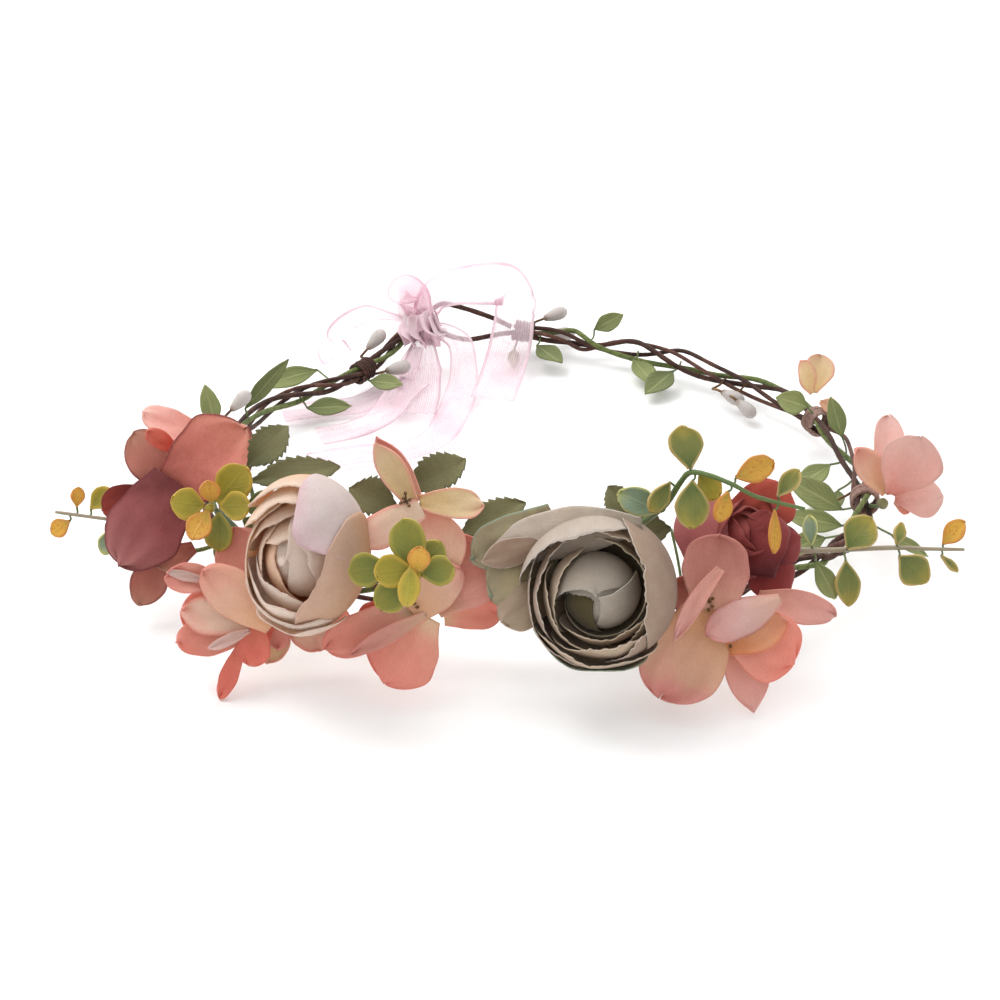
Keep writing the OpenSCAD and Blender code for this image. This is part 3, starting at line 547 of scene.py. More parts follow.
def at(middle, right, up, near=0.0):
    """A point beside a flower's middle: right, up and nearer, for someone who faces the flowers."""
    return (np.array(middle, float) + facing(0, FACE) @ np.array([right, up, near], float)).tolist()


def petal(piece, middle, az, el, spec, material, start=2.0, **shape):
    """spec is angle, tilt, length, width, cup, curl, roll."""
    angle, tilt, length, width, cup, curl, roll = spec
    G = petal_grid(length - start, width, cup, curl, **shape)
    G = G @ turn("x", roll).T + np.array([start, 0, 0])
    M = facing(az, el) @ turn("z", angle) @ turn("y", -tilt)
    piece.sheet(G @ M.T + np.array(middle, float), material, PETAL_THICK)


def seen(piece, middle, angle, length, width, material, tilt=0, cup=0.25, curl=0.0, roll=0, **shape):
    """A petal laid out as it is seen from the front."""
    petal(piece, middle, 0, FACE, (angle, tilt, length, width, cup, curl, roll), mat[material], start=0.0,
        **shape)


def lay(piece, middle, rows):
    """rows: right, up, near, angle, length, width, material, then a dict of what isn't usual."""
    for right, up, near, angle, length, width, material, *unusual in rows:
        shape = {"ruffle": 0.6, "neck": 0.5, **(unusual[0] if unusual else {})}
        seen(piece, at(middle, right, up, near), angle, length, width, material, **shape)


def floret(name, node, middle, rows):
    piece = Piece()
    lay(piece, middle, rows)
    piece.make(name, [node], ROOT)


def stalk(piece, base, line, r=0.3, kind="stem"):
    """A short stalk from a leaf's or pip's base to the nearest place on its stem."""
    base = np.array(base, float)
    near = line[np.argmin(np.linalg.norm(line - base, axis=1))]
    if np.linalg.norm(near - base) > 0.8:
        piece.tube(smooth([base, (base + near) / 2 + np.array([0.4, 0, -0.5]), near], 10), r, mat[kind], 6)


def leaf(piece, s, material, widest=0.42, thick=0.35, **shape):
    """s is x, y, z, angle, tilt, length, width, az, el: a leaf in a plane that faces az, el."""
    el = s[8] if len(s) > 8 else FACE
    shape = {"cup": 0.25, "curl": -0.08, "ruffle": 0.3, "rows": 20, "cols": 10, "point": 0.85,
             "neck": 0.08, **shape}
    G = petal_grid(s[5], s[6], widest=widest, **shape)
    M = facing(s[7], el) @ turn("z", s[3]) @ turn("y", -s[4])
    piece.sheet(G @ M.T + np.array(s[:3], float), material, thick)


def wrap(piece, middle, az, el, r, mid, half, low, top, material, squash=1.0, pitch=1.5, flare=0.06,
         frill=2.0, fray=0.0, rows=16, cols=34, tall=1.0, round_off=0.30):
    """One petal of a round bloom, wrapped about the local +Z from low up to top, degrees from the axis."""
    p = [rng.uniform(0, 6.28) for _ in range(6)]
    v = np.linspace(-1, 1, cols + 1)[None]
    s = np.linspace(0, 1, rows + 1)[:, None]
    edge = top + (low - top) * (round_off * v ** 4 + 0.06 * v * v)
    edge = edge + frill * (np.sin(3.1 * v + p[0]) + 0.4 * np.sin(9 * v + p[1]))
    edge = edge + fray * np.array([rng.uniform(-1, 1) for _ in range(cols + 1)])[None]
    down = np.radians(low + (edge - low) * s)
    around = np.radians(mid + half * v * (0.82 + 0.18 * np.sin(math.pi * (0.25 + 0.5 * s))))
    rr = r + pitch * v * half / 120 + r * flare * s ** 5 * (1 + 0.6 * np.sin(4 * v + p[2]))
    rr = rr + 0.012 * r * np.sin(6 * v + p[3]) * s
    G = np.stack([rr * np.sin(down) * np.cos(around), tall * rr * np.sin(down) * np.sin(around),
                  squash * rr * np.cos(down)], 2)
    piece.sheet(G @ facing(az, el).T + np.array(middle, float), material, WRAP_THICK)


def bloom(piece, middle, az, el, r, layers, squash=1.0, **shape):
    """layers: (share of r, petals, half width, top, low, first angle, material)."""
    for share, n, half, top, low, first, material in layers:
        for k in range(n):
            wrap(piece, middle, az, el, r * share, first + 360 * k / n + rng.uniform(-6, 6), half, low,
                 top + rng.uniform(-2, 2), material, squash, **shape)


# ---------- ring ----------
front_route = [
    [-42, 86, 11], [-50, 74, 8], [-59, 62, 8], [-71, 52, 9], [-83, 39, 10], [-90, 16, 11.5], [-92, -14, 14],
    [-87, -40, 16], [-72, -59, 18], [-50, -70, 19], [-25, -76, 19.5], [0, -78, 19.5], [25, -76, 19],
    [50, -70, 19], [68, -60, 18], [78, -52, 17.5]]
arm_route = [
    [80, -50, 17.3], [86, -41, 17], [91, -24, 15], [91, -3, 13], [87, 20, 11], [79, 40, 9], [65, 58, 7.5],
    [50, 71, 7], [34, 81, 6.5], [18, 88, 6.5], [5, 91.5, 7], [-8, 93.5, 8]]


def strand(route, count, turns, phase, front, spread=1.0, stray=0.5):
    line = smooth(route, count)
    along = unit(np.gradient(line, axis=0))
    across = unit(np.cross(np.array([0, 0, 1.0]), along))
    s = np.linspace(0, 1, count + 1)
    if front:
        loose = np.clip(np.minimum(12 * (s - 0.13), 15 * (1 - s)), 0, 1) * np.where(s < 0.38, 0.35, 1.0)
    else:
        loose = np.clip(np.minimum(10 * s, 10 * (0.95 - s)), 0, 1)
    p, q = rng.uniform(0, 6), rng.uniform(0, 6)
    r = 1.5 + loose * (0.9 * spread + stray * (np.sin(23 * s + p) + 0.7 * np.sin(41 * s + q)))
    sway = (0.8 * np.sin(9 * s + q) + 0.35 * np.sin(27 * s + p)) * loose * stray * 2
    a = np.radians(phase + 360 * turns * s) + sway
    return line + r[:, None] * (np.cos(a)[:, None] * across + np.sin(a)[:, None] * np.array([0, 0, 1.0]))


def wires(names, route, count, turns, front, body):
    kinds = [("wire", 0.8), ("wire_light", 0.62), ("wire", 0.68), ("stem_tape", 0.8)]
    for k, (name, (kind, r)) in enumerate(zip(names, kinds)):
        P = Piece()
        P.tube(strand(route, count, turns, 90 * k, front, 1.15), r, mat[kind], 10, bumpy=0.05)
        P.make(name + "_look", [name], body)


wires(["vine_wire_1", "vine_wire_2", "vine_wire_3", "garland_stem_front"],
      front_route, FRONT_STEPS, FRONT_TURNS, True, ROOT)
wires(["arm_wire_1", "arm_wire_2", "arm_wire_3", "garland_stem_arm"],
      arm_route, ARM_STEPS, ARM_TURNS, False, ARM)


def coil(piece, route, t, turns, radius, wire, material, pitch=1.05):
    """Fine wire or tape wound round the bundle about the route's point t."""
    line = smooth(route, 400)
    at = t / (len(route) - 1) * 400
    count = int(turns * 20)
    out = []
    mid = line[int(at)]
    along = unit(line[min(int(at) + 4, 400)] - line[max(int(at) - 4, 0)])
    across = unit(np.cross(np.array([0, 0, 1.0]), along))
    up = np.cross(along, across)
    for k in range(count + 1):
        a = 2 * math.pi * k / 20
        r = radius * (1 + 0.03 * math.sin(a * 0.37))
        spoke = math.cos(a) * across + math.sin(a) * up
        out.append(mid + along * pitch * (a / 2 / math.pi - turns / 2) + r * spoke)
    piece.tube(np.array(out), wire, material, 8)


P = Piece()
coil(P, front_route, 1.5, 6, 2.9, 0.45, mat["wire"])
P.make("left_coil_look", ["left_binding_coil"], ROOT)
P = Piece()
coil(P, arm_route, 10.7, 6, 2.9, 0.45, mat["wire"])
P.make("right_coil_look", ["right_binding_coil"], ARM)
P = Piece()
for t in (4.7, 2.3):
    coil(P, arm_route, t, 5, 3.6, 0.62, mat["tape"], 1.0)
P.make("tape_look", ["arm_tape_wrap"], ARM)
P = Piece()
P.tube(smooth([[-40.8, 87.9, 11.4], [-39.2, 90.2, 11.7], [-37.4, 91.4, 11.6]], 16), 0.8, mat["wire"],
    bumpy=0.04)
P.make("left_hook_look", ["left_end_hook"], ROOT)
P = Piece()
P.tube(smooth([[-9, 94.8, 8.4], [-11.5, 95.2, 9.6], [-15.5, 95.5, 11.5], [-24, 95, 15], [-31, 93.8, 17],
               [-34.5, 92.5, 13], [-30, 91.5, 8], [-23, 92, 5.5], [-16, 92.8, 6.2], [-11.5, 93, 7],
               [-8, 93, 7.4]], 110), 0.8, mat["wire"], bumpy=0.05)
P.make("right_loop_look", ["right_end_loop"], ARM)

# short lengths of the same wires that bend where the arm leaves the flowers
for k, kind in enumerate(["wire", "wire_light", "wire", "stem_tape"]):
    P = Piece()
    front = strand(front_route, FRONT_STEPS, FRONT_TURNS, 90 * k, True, 1.15, 0)[-7:]
    arm = strand(arm_route, ARM_STEPS, ARM_TURNS, 90 * k, False, 1.15, 0)[:7]
    P.tube(smooth([front[0], front[3], front[6], arm[0], arm[3], arm[6]], 30), 0.9, mat[kind], bumpy=0.04)
    o = P.make(f"hinge_wire_{k + 1}", [], None)
    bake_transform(o)

# ---------- garland leaves and pips ----------
def garland(name, node, body, route, dark, curl, leaves):
    piece = Piece()
    for n, spec in enumerate(leaves):
        leaf(piece, spec, mat["garland_dark" if n in dark else "garland"], curl=curl)
        stalk(piece, spec[:3], smooth(route, 300))
    piece.make(name, [node], body)


garland("garland_left_look", "garland_leaves_left", ROOT, front_route, (1, 3), 0.1, [
        [-95.5, 26, 13, 108, 5, 12, 6, -10], [-87, 31, 15.5, 44, 0, 19, 5, 10],
        [-68, 66, 9, 197, 0, 19, 6, 0, 45], [-70, 47, 6.5, -6, 0, 13, 6.5, 10, 60],
        [-52, 64.5, 6, -10, 0, 10, 6, 0, 60]])
garland("garland_arm_look", "garland_leaves_arm", ARM, arm_route, (0, 4, 6, 8), 0.08, [
        [-1, 87, 6, -50, 0, 12, 7, 0, 78], [-8, 89.5, 3.6, -92, -4, 11, 3.5, 0, 85],
        [17, 92.8, 8.5, 28, 0, 10, 5.5, 0], [29, 79.5, 5, -62, 0, 14, 7, 0, 76],
        [41, 71.5, 5.5, 231, 0, 14, 7.5, 0, 74], [79, 32, 15.5, 164, 0, 9.5, 8, 0, 50],
        [87.5, 12, 17, 105, 5, 12, 5.5, 0, 50], [84, 8, 10, 232, 0, 13, 7, -15, 65],
        [85.5, -3, 8, -95, 0, 7, 4, 0, 70], [85, -20, 12, 150, 0, 18, 8, 0, 50],
        [84.5, -27, 11, 170, 0, 16, 7, 0, 50], [79, -35, 12, 200, 0, 13, 7.5, 0, 50],
        [97.5, -33, 12, -34, 0, 12, 3.5, 0, 50]])


def pip(piece, s):
    """s is x, y, z, angle, el: a white bead on a short bit of thread."""
    M = facing(0, s[4]) @ turn("z", s[3])
    thread = np.array([M @ np.array(p) for p in ([-3.0, 0, -0.6], [-1.2, 0, 0], [1.0, 0, 0])])
    piece.tube(thread + np.array(s[:3]), 0.4, mat["fibre"], 8)
    bead = [(0, 0.3), (0.5, 0.9), (1.6, 1.35), (3.2, 1.85), (5, 2.15), (6.4, 2.0), (7.4, 1.4), (8, 0.5)]
    piece.lathe(M, s[:3], bead, mat["pip"], 18, 0.02)


pips = [
    ("left_pips", ROOT, front_route, [[-91, 28, 16.5, 45, 31], [-53.5, 79, 9, 48, 31],
      [-47.5, 68, 7.4, 14, 31]]),
    ("back_pips", ARM, arm_route, [[1, 98, 9.5, 20, 31], [3, 98, 4.5, -3, 31]]),
    ("arm_pips", ARM, arm_route, [[55, 58, 6, -32, 70], [59.5, 52.5, 6, -50, 70], [81, -11, 7.5, 215, 60]])]
for name, body, route, spots in pips:
    P = Piece()
    for s in spots:
        pip(P, s)
    P.make(name + "_look", [name], body)

# ---------- flowers on the arm ----------
side = [96.5, -30, 21]
P = Piece()
petal(P, side, 15, 31, (60, 14, 20, 17, 0.5, 0.1, 0), mat["blush"], notch=0.04, ruffle=0.8)
petal(P, side, 15, 31, (72, -25, 27, 10, 0.3, 0, 0), mat["blush"], ruffle=0.8)
petal(P, side, 15, 31, (114, -4, 17, 10, 0.3, 0, 20), mat["pink_pale"], ruffle=0.7)
petal(P, side, 15, 31, (-4, 5, 16, 10, 0.3, -0.1, 10), mat["blush"], ruffle=0.6)
petal(P, side, 15, 31, (-18, -10, 8, 6, 0.2, 0, 0), mat["coral"])
P.make("blush_side_look", ["blush_side_petals"], ARM)
P = Piece()
P.lathe(facing(15, 31) @ turn("y", -90), [95.4, -27.2, 18.4],
    [(-1.6, 0.5), (-0.8, 1.4), (0.6, 1.6), (1.6, 0.9)], mat["leaf_dark"], 14, 0.05)
P.tube(smooth([[95.6, -27.6, 18.8], [94, -25.5, 16.5], [92.5, -22.5, 14.8]], 8), 0.5, mat["stem"])
P.make("blush_calyx_look", ["blush_side_calyx"], ARM)
P = Piece()
petal(P, [81, 35, 16.5], 20, 45, (114, 38, 14, 7, 0.4, 0, 0), mat["peachcream"])
petal(P, [81, 35, 16.5], 20, 45, (66, 0, 14, 9, 0.4, 0, 0), mat["peachcream"])
petal(P, [81, 35, 16.5], 20, 45, (-40, 10, 8, 5, 0.3, 0, 0), mat["pink_pale"])
P.make("cream_bud_look", ["cream_bud_petals"], ARM)


# ---------- ribbon ----------
def ribbon(piece, route, width, material, count=60, folds=0.5, wave=3.0, cols=14, gather=None, thick=0.16):
    """route points are x, y, z, lean. gather narrows the ribbon's start, where it is drawn into the knot."""
    line = smooth([p[:3] for p in route], count)
    lean = np.radians(smooth([[p[3], 0, 0] for p in route], count)[:, 0])
    along = unit(np.gradient(line, axis=0))
    flat = unit(np.stack([-along[:, 1], along[:, 0], 0 * along[:, 0]], 1))
    for k in range(1, len(flat)):
        if np.dot(flat[k], flat[k - 1]) < 0:
            flat[k] = -flat[k]
    up = np.cross(along, flat)
    across = np.cos(lean)[:, None] * flat + np.sin(lean)[:, None] * up
    normal = np.cross(along, across)
    v = np.linspace(-1, 1, cols + 1)
    s = np.linspace(0, 1, count + 1)
    w = np.full(count + 1, width / 2)
    if gather:
        w = w * (gather + (1 - gather) * np.clip(s * 3, 0, 1) ** 0.7)
    p, q = rng.uniform(0, 6), rng.uniform(0, 6)
    fold = folds * (1 + (2.0 if gather else 0.0) * np.clip(1 - s * 3, 0, 1))
    ripple = np.cos(wave * math.pi * v[None] + p + 2 * s[:, None])
    dz = fold[:, None] * ripple * (0.5 + 0.5 * np.sin(5 * s[:, None] + q) ** 2)
    G = line[:, None] + across[:, None] * (w[:, None, None] * v[None, :, None]) + normal[:, None] * dz[:, :,
        None]
    piece.sheet(G, material, thick)
    return float(np.linalg.norm(np.diff(line, axis=0), axis=1).sum())


def tail(name, nodes, route, width, kind="ribbon", held="laid", **more):
    P = Piece()
    length = ribbon(P, route, width, mat[kind], **more)
    o = P.make(name, nodes, ROOT)
    return o


# the knot: a bundle of short tight folds
P = Piece()
knot = np.array([-36.5, 82, 15])
for k in range(9):
    a = 40 * k + rng.uniform(-12, 12)
    top = knot + np.array([3.4 * math.cos(math.radians(a)), 1.6 * math.sin(math.radians(a)),
        5.2 + rng.uniform(-0.8, 1.4)])
    low = knot + np.array([4.2 * math.cos(math.radians(a + 25)), 2.2 * math.sin(math.radians(a + 25)),
        -5.5 + rng.uniform(-1, 1)])
    mid = knot + np.array([5.0 * math.cos(math.radians(a + 10)), 2.8 * math.sin(math.radians(a + 10)),
        rng.uniform(-1, 1)])
    ribbon(P, [[*top, 0], [*mid, 0], [*low, 0]], 6, mat["knot"], 18, 0.5, 2.0, 8)
P.make("knot_look", ["ribbon_knot"], ROOT)
tail("bow_loop_look", ["bow_loop"], [[-38, 82, 17, 70], [-41, 82, 20, 70], [-42.5, 83, 24.5, 60],
     [-41, 84, 27.5, 40], [-38.5, 83.5, 24, 60],
     [-37, 82, 18, 70]], 10, "ribbon_fold", "gathered", gather=0.4, folds=0.35)
P = Piece()
band = [[-35.5, 83, 19, 60], [-32.5, 85.5, 24, 60], [-27, 88, 26, 60], [-20, 89, 26.5, 60],
        [-13, 89.5, 26.5, 60], [-9, 89.5, 25.5, 35], [-7.8, 88.8, 21, 5], [-8, 88, 17, 0],
        [-8.8, 86, 10.5, 0], [-10, 81, 6.2, 0], [-12, 71, 4.2, 0], [-14.5, 58, 3.6, 0]]
length = ribbon(P, band, 13.5, mat["ribbon"], 130, 0.45, 2.0, 16, gather=0.55)
o = P.make("tie_band_look", [], None)
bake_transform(o)
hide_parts("tie_band", "hanging_ribbon_end")
tail("ribbon_fan_look", ["ribbon_fan"], [[-36, 80, 12, 0], [-36.5, 75, 6.5, 0], [-37, 69, 4.2, 0],
     [-37, 60, 3.6, 0], [-38, 50, 3.2, 0]], 13, gather=0.35, folds=0.7, wave=4.0)
tail("long_tail_look", ["long_ribbon_tail"], [
    [-32, 82, 15, 30], [-25, 78.5, 12, 30], [-23.5, 71, 5.4, 20], [-24.5, 62, 1.9, 0], [-27, 50, 1.6, 0],
    [-31, 38, 1.5, 0], [-40, 30, 1.5, 0], [-54, 28, 1.4, 0], [-68, 24, 1.3, 0]], 10, count=110, gather=0.5,
   folds=0.35)
tail("left_tail_look", ["left_ribbon_tail"], [[-38, 79, 10, 20], [-42, 72, 3.6, 0], [-47, 65, 2, 0],
     [-55, 58, 1.5, 0], [-66, 55, 1.5, 0], [-78, 52, 1.4, 0]], 10, gather=0.5, folds=0.35, count=80)
tail("middle_tail_look", ["middle_ribbon_tail"],
     [[-38, 66, 5.2, 0], [-43, 58, 4.6, 0], [-47, 48, 4, 0], [-55, 41, 3.2, 0],
         [-66, 37, 2.6, 0]], 10, folds=0.35)
tail("left_loop_look", ["left_bow_loop"], [[-38, 83, 16, 50], [-47, 89, 15.5, 50], [-54, 91, 15, 60],
     [-61, 90, 11.5, 65], [-65.5, 88, 6.5, 50],
     [-63, 84, 3.4, 20]], 10, "ribbon", "gathered", gather=0.5, folds=0.4)

# ---------- left flowers ----------
floret("dusty_look", "dusty_floret_petals", [-100, -50, 37.5], [
    (-0.8, 0.4, -3, 122, 17, 12.5, "tan", dict(cup=0.2)),
    (-7.5, -1, -4, 206, 12, 9, "darkred"),
    (-6, -6, -5, 225, 14, 12, "darkred"),
    (2, 10, -2, 146, 10, 5, "blush_fold", dict(ruffle=1.0, tilt=20, neck=0.4)),
    (0.5, -1, 1, 39, 27, 21, "terracotta", dict(tilt=6, ruffle=1.3, fray=0.25, neck=0.55, rows=30, cols=26,
      widest=0.66)),
    (2, 2, 3, 237, 27, 21, "mauve", dict(tilt=2, cup=-0.15, ruffle=1.2, fray=0.2, neck=0.6, rows=30,
      cols=26, widest=0.62))])
floret("drooping_look", "drooping_floret_petals", [-101.5, -52, 17], [
    (7.5, 2.5, 1, 208, 11, 7, "tan", dict(tilt=5, ruffle=0.7)),
    (-1.2, 1.5, 0, 247, 16, 10, "tan", dict(curl=0.05, ruffle=0.7, neck=0.6)),
    (-2, 4, -2, 120, 9, 8, "darkred")])
floret("blush_back_look", "blush_back_petals", [-92.5, -24, 37], [
    (-1, 1, 0, 157, 17.5, 9, "blush", dict(tilt=8, curl=-0.1, ruffle=0.9)),
    (-2, 1, -2, 40, 7, 4, "blush", dict(neck=0.2)),
    (0, 0, -2, 215, 13, 11, "blush", dict(tilt=-20))])


def sprig(look, node, route, count, thin, kind, bumpy, widest, thick, cup, point, leaves):
    """A stem that thins to its tip, and its leaves on short stalks."""
    line = smooth(route, count)
    piece = Piece()
    piece.tube(line, np.linspace(*thin, count + 1), mat[kind], 8, bumpy=bumpy)
    piece.make(look + "_stem_look", [node + "_stem"], ROOT)
    piece = Piece()
    for spec, material in leaves:
        leaf(piece, spec, mat[material], widest, thick, cup=cup, ruffle=0.2, point=point, neck=0.1)
        stalk(piece, spec[:3], line)
    piece.make(look + "_leaves_look", [node + "_leaves"], ROOT)


sprig("left_sprig", "left_sprig",
      [[-92, -36, 15.5], [-97, -36, 16], [-106, -36, 17.5], [-118, -35, 18], [-134.5, -31, 18]],
      40, (0.85, 0.45), "stem_grey", 0.05, 0.58, 0.6, 0.15, 0.5, [
          ([-130.5, -33, 16.4, 222, 0, 6.5, 5, -15], "boxwood_orange"),
          ([-128.5, -31, 19.6, 75, 0, 5.5, 4, 20], "boxwood_orange"),
          ([-124.5, -32, 19.8, 50, 0, 7.5, 6.5, -15], "boxwood_yellow"),
          ([-119, -37, 16, 255, 0, 7, 5, 10], "sprig_grey")])


def boxwood(name, middle, az, route, rows):
    """Round, rather thick leaves about a tip. rows: right, up, near, angle, length, width, material, tilt."""
    piece = Piece()
    for right, up, near, angle, length, width, material, tilt in rows:
        G = petal_grid(length, width, 0.12, -0.06, 0.56, 0.15, rows=20, cols=14, neck=0.14)
        M = facing(0, FACE) @ turn("z", angle) @ turn("y", -tilt)
        piece.sheet(G @ M.T + np.array(at(middle, right, up, near), float), mat[material], 0.55)
    piece.make(name + "_look", [name + "_leaves"], ROOT)
    piece = Piece()
    piece.tube(smooth(route, 24), np.linspace(0.8, 0.6, 25), mat["stem"], 8)
    bud = [(-1.5, 0.7), (0, 1.3), (1.4, 1.2), (2.2, 0.7)]
    piece.lathe(facing(az, FACE) @ turn("y", -90), middle, bud, mat["boxwood_yellow"], 12, 0.05)
    piece.make(name + "_stem_look", [name + "_stem"], ROOT)


left_stem = [[-77, -61, 24], [-81, -62, 32], [-86, -69, 43], [-86.8, -71.6, 45.2]]
boxwood("left_boxwood", [-86.5, -71, 44], -10, left_stem, [
    (8.5, 0, -6, 8, 9, 8, "garland_dark", 0), (8, -3, -6, 330, 9, 8, "garland_dark", 0),
    (3, -5, -7, 285, 11, 10, "garland_dark", 0), (2.2, -1.2, -1, 268, 10, 7.6, "boxwood", -5),
    (1.6, 1.5, -0.5, 50, 12, 9.8, "boxwood_yellow", 8), (-1.6, 0.6, 0, 172, 8.6, 8.6, "boxwood_yellow", 15),
    (2.6, 0.4, 1, 3, 8.4, 8, "boxwood_yellow", 22), (0.4, 1.6, 1.5, 93, 7.4, 5.4, "boxwood_orange", 45),
    (-0.3, -0.6, 1.8, 242, 9.4, 6.4, "boxwood_orange", 30)])

floret("pink_look", "pink_floret_petals", [-78.5, -86, 21.5], [
    (5, 4, -5, 112, 19, 15, "pink", dict(ruffle=0.8)),
    (4, -2, -4, 175, 20, 14, "coral", dict(ruffle=0.8)),
    (-6.5, 8.5, 1, 178, 13, 8, "pink", dict(tilt=12, cup=0.4, ruffle=0.7)),
    (-8, 8, 2.6, 167, 11, 2.6, "white_back", dict(tilt=10, ruffle=0.4, neck=0.4)),
    (2, -4.5, -2, 191, 19, 10.5, "coral", dict(tilt=4, ruffle=0.8, fray=0.3)),
    (2, -3.5, 0, 167, 17.5, 9.5, "cream_rim", dict(tilt=8, ruffle=0.7)),
    (2.5, -5, 1.2, 204, 11.5, 3, "white_back", dict(tilt=12, ruffle=0.5, neck=0.4)),
    (4.5, -4.5, -1, 258, 10, 9, "coral_deep"),
    (-0.2, -10, -1, 247, 14, 5, "coral_deep", dict(tilt=-4, curl=-0.05)),
    (9, -3, 3.4, 143, 23, 12.5, "pink_pale", dict(tilt=6, cup=-0.2, ruffle=0.8, neck=0.55, rows=26,
      cols=20))])
floret("buttercream_look", "buttercream_floret_petals", [-72, -84, 13], [
    (4, 5, -1, 252, 13.5, 9, "peachcream", dict(ruffle=0.8, point=0.7)),
    (1, 4, 1, 228, 11, 8, "coral_deep", dict(ruffle=0.7)),
    (3, 6, 1, 270, 10, 6, "pink", dict(ruffle=0.7)),
    (8, 6, -1, 300, 12, 10, "cream_rim", dict(ruffle=0.7)),
    (12, 6, -2, 330, 11, 9, "coral", dict(ruffle=0.7))])

# ---------- cream ranunculus ----------
CM, CA, CE = [-61, -88.5, 40.4], -22, 24


def ball(piece, middle, az, el, r, material):
    """The closed heart of a bloom."""
    M = facing(az, el) @ turn("y", -90)
    ang = np.linspace(8, 172, 15)
    prof = [(-r * math.cos(math.radians(a)), r * math.sin(math.radians(a))) for a in ang]
    piece.lathe(M, middle, prof, material, 28, 0.02)


def cup(piece, middle, az, el, petals, **shape):
    """petals: radius, mid, half width, low, top, material."""
    for r, mid, half, low, top, material in petals:
        wrap(piece, middle, az, el, r, mid, half, low, top, mat[material], **shape)


P = Piece()
ball(P, CM, CA, CE, 9.0, mat["cream_warm"])
cup(P, CM, CA, CE, [(12.4, 0, 180, 176, 84, "cream_deep")], frill=1.0, flare=0.0, tall=1.15)
cup(P, CM, CA, CE, [(10.6, 4, 100, 118, -14, "cream"), (9.9, 205, 80, 118, 24, "cream_deep"),
    (10.2, 112, 62, 116, 26, "cream_warm")], frill=2.0, fray=0.8, flare=0.0, tall=1.1)
P.make("cream_core_look", ["cream_ranunculus_core"], ROOT)
P = Piece()
cup(P, CM, CA, CE, [
    (11.6, 190, 74, 116, 44, "cream_warm"), (12.0, 25, 60, 116, 26, "cream"),
    (12.8, 250, 66, 116, 36, "cream"),
    (13.2, 130, 56, 114, 46, "cream_warm")],
    frill=2.4, fray=0.9, flare=0.02, tall=1.12)
P.make("cream_inner_look", ["cream_ranunculus_inner_petals"], ROOT)
P = Piece()
cup(P, CM, CA, CE, [
    (14.6, 172, 62, 114, 52, "cream_warm"), (14.8, 250, 60, 112, 44, "cream"),
    (15.8, 105, 60, 112, 48, "cream_warm"), (16.0, -100, 54, 112, 54, "cream")],
    frill=2.2, fray=0.9, flare=0.02, tall=1.2, round_off=0.16)
# The outer petal at -20 degrees uses the darker copy of cream_warm, which is painted shade.
cup(P, CM, CA, CE, [(16.8, -20, 62, 110, 38, "cream_painted_shade"), (17.3, 50, 42, 108, 24, "cream_pink"),
                    (17.2, -86, 44, 110, 66, "cream"),
                    (17.6, 104, 50, 104, 60, "cream_warm")],
    frill=1.6, fray=0.6, flare=0.02, tall=1.2, round_off=0.34)
P.make("cream_outer_look", ["cream_ranunculus_outer_petals"], ROOT)

# ---------- centre flowers ----------
floret("peach_look", "peach_floret_petals", [-34.5, -82, 52.5], [
    (2.5, 0, -1.5, 121, 19.5, 7.5, "pink", dict(tilt=4, point=0.9)),
    (1.6, 0, 0, 122, 18, 7, "peachcream", dict(tilt=8, cup=0.5, point=0.8)),
    (3.4, 0.2, 0, -3, 16.5, 8.6, "peachcream", dict(tilt=5, ruffle=0.8, neck=0.4, point=0.6)),
    (4, -1.5, 1, 208, 18, 10, "cream_rim", dict(tilt=4, cup=-0.2, neck=0.55))])
floret("coral_look", "coral_floret_petals", [-34, -92, 25], [
    (9, -1.5, -4, 4, 15.5, 8, "coral", dict(point=0.7)),
    (5, 3, -1, 39, 21.5, 20, "pink", dict(tilt=2, cup=0.2, ruffle=1.2, neck=0.6, rows=28, cols=24)),
    (6, 6.5, 1, 92, 20.5, 17, "pink_pale", dict(tilt=3, ruffle=1.0, neck=0.6, rows=28, cols=24)),
    (1, 0, 2, 44, 17, 11, "pink_pale", dict(tilt=6, cup=-0.2, ruffle=0.7)),
    (0, 1.5, -2, 196, 14, 9, "coral_deep", dict(ruffle=0.8)),
    (1, 1, 0, 204, 25, 11, "coral", dict(tilt=4, cup=0.3, ruffle=0.9)),
    (4, -0.5, 0, 240, 20.5, 19, "coral", dict(tilt=-2, cup=-0.12, ruffle=0.8, rows=28, cols=24)),
    # The narrow pink strip is the upper fold of a coral petal; its lighter pink colour is a painted
    # highlight.
    (4.5, -0.5, 2.4, 208, 22, 4.6, "pink", dict(tilt=4, point=0.8))])
centre_stem = [[-42, -77, 26], [-38, -92, 35], [-32.5, -105.5, 44], [-31.2, -109.5, 48.5]]
boxwood("centre_boxwood", [-31, -110, 48.5], 0, centre_stem, [
    (-7.4, 2, -4, 190, 10, 9.2, "boxwood", -4), (1.2, 2, -2, 48, 7.6, 7, "boxwood", 0),
    (-2.4, -2.2, -2, 217, 9.6, 8.4, "boxwood", 0), (-0.2, 0.8, -0.5, 104, 13.4, 9.6, "boxwood", 6),
    (1.2, 0, 0.5, 11, 8.6, 8, "boxwood", 16), (-1, 1.4, 0.8, 186, 9.4, 8.6, "boxwood_yellow", 14),
    (0.5, 0.6, 1.6, 84, 8, 5.8, "boxwood_orange", 40),
    (-1.2, 2.2, 2, 264, 10.6, 5.8, "boxwood_yellow", 24)])
P = Piece()
for s in [[-78, -54, 46.5, 50, 0, 15, 11, -10], [-77, -60, 45.5, 8, 0, 24, 10, 5, 45],
          [-38, -66, 42, 155, 0, 13, 11, 10], [-35, -63, 45, 28, 0, 17, 12, 0], [-21, -66, 33, 27, 0, 19,
          11, 0, 45], [24, -66, 38, 120, 0, 10, 10, 10], [35, -62, 32, 185, 0, 14, 12, 0]]:
    leaf(P, s, mat["leaf_dark"], 0.5, 0.3, teeth=9, rows=72, cup=0.2, point=0.8)
    stalk(P, s[:3], smooth(front_route, 300), 0.4)
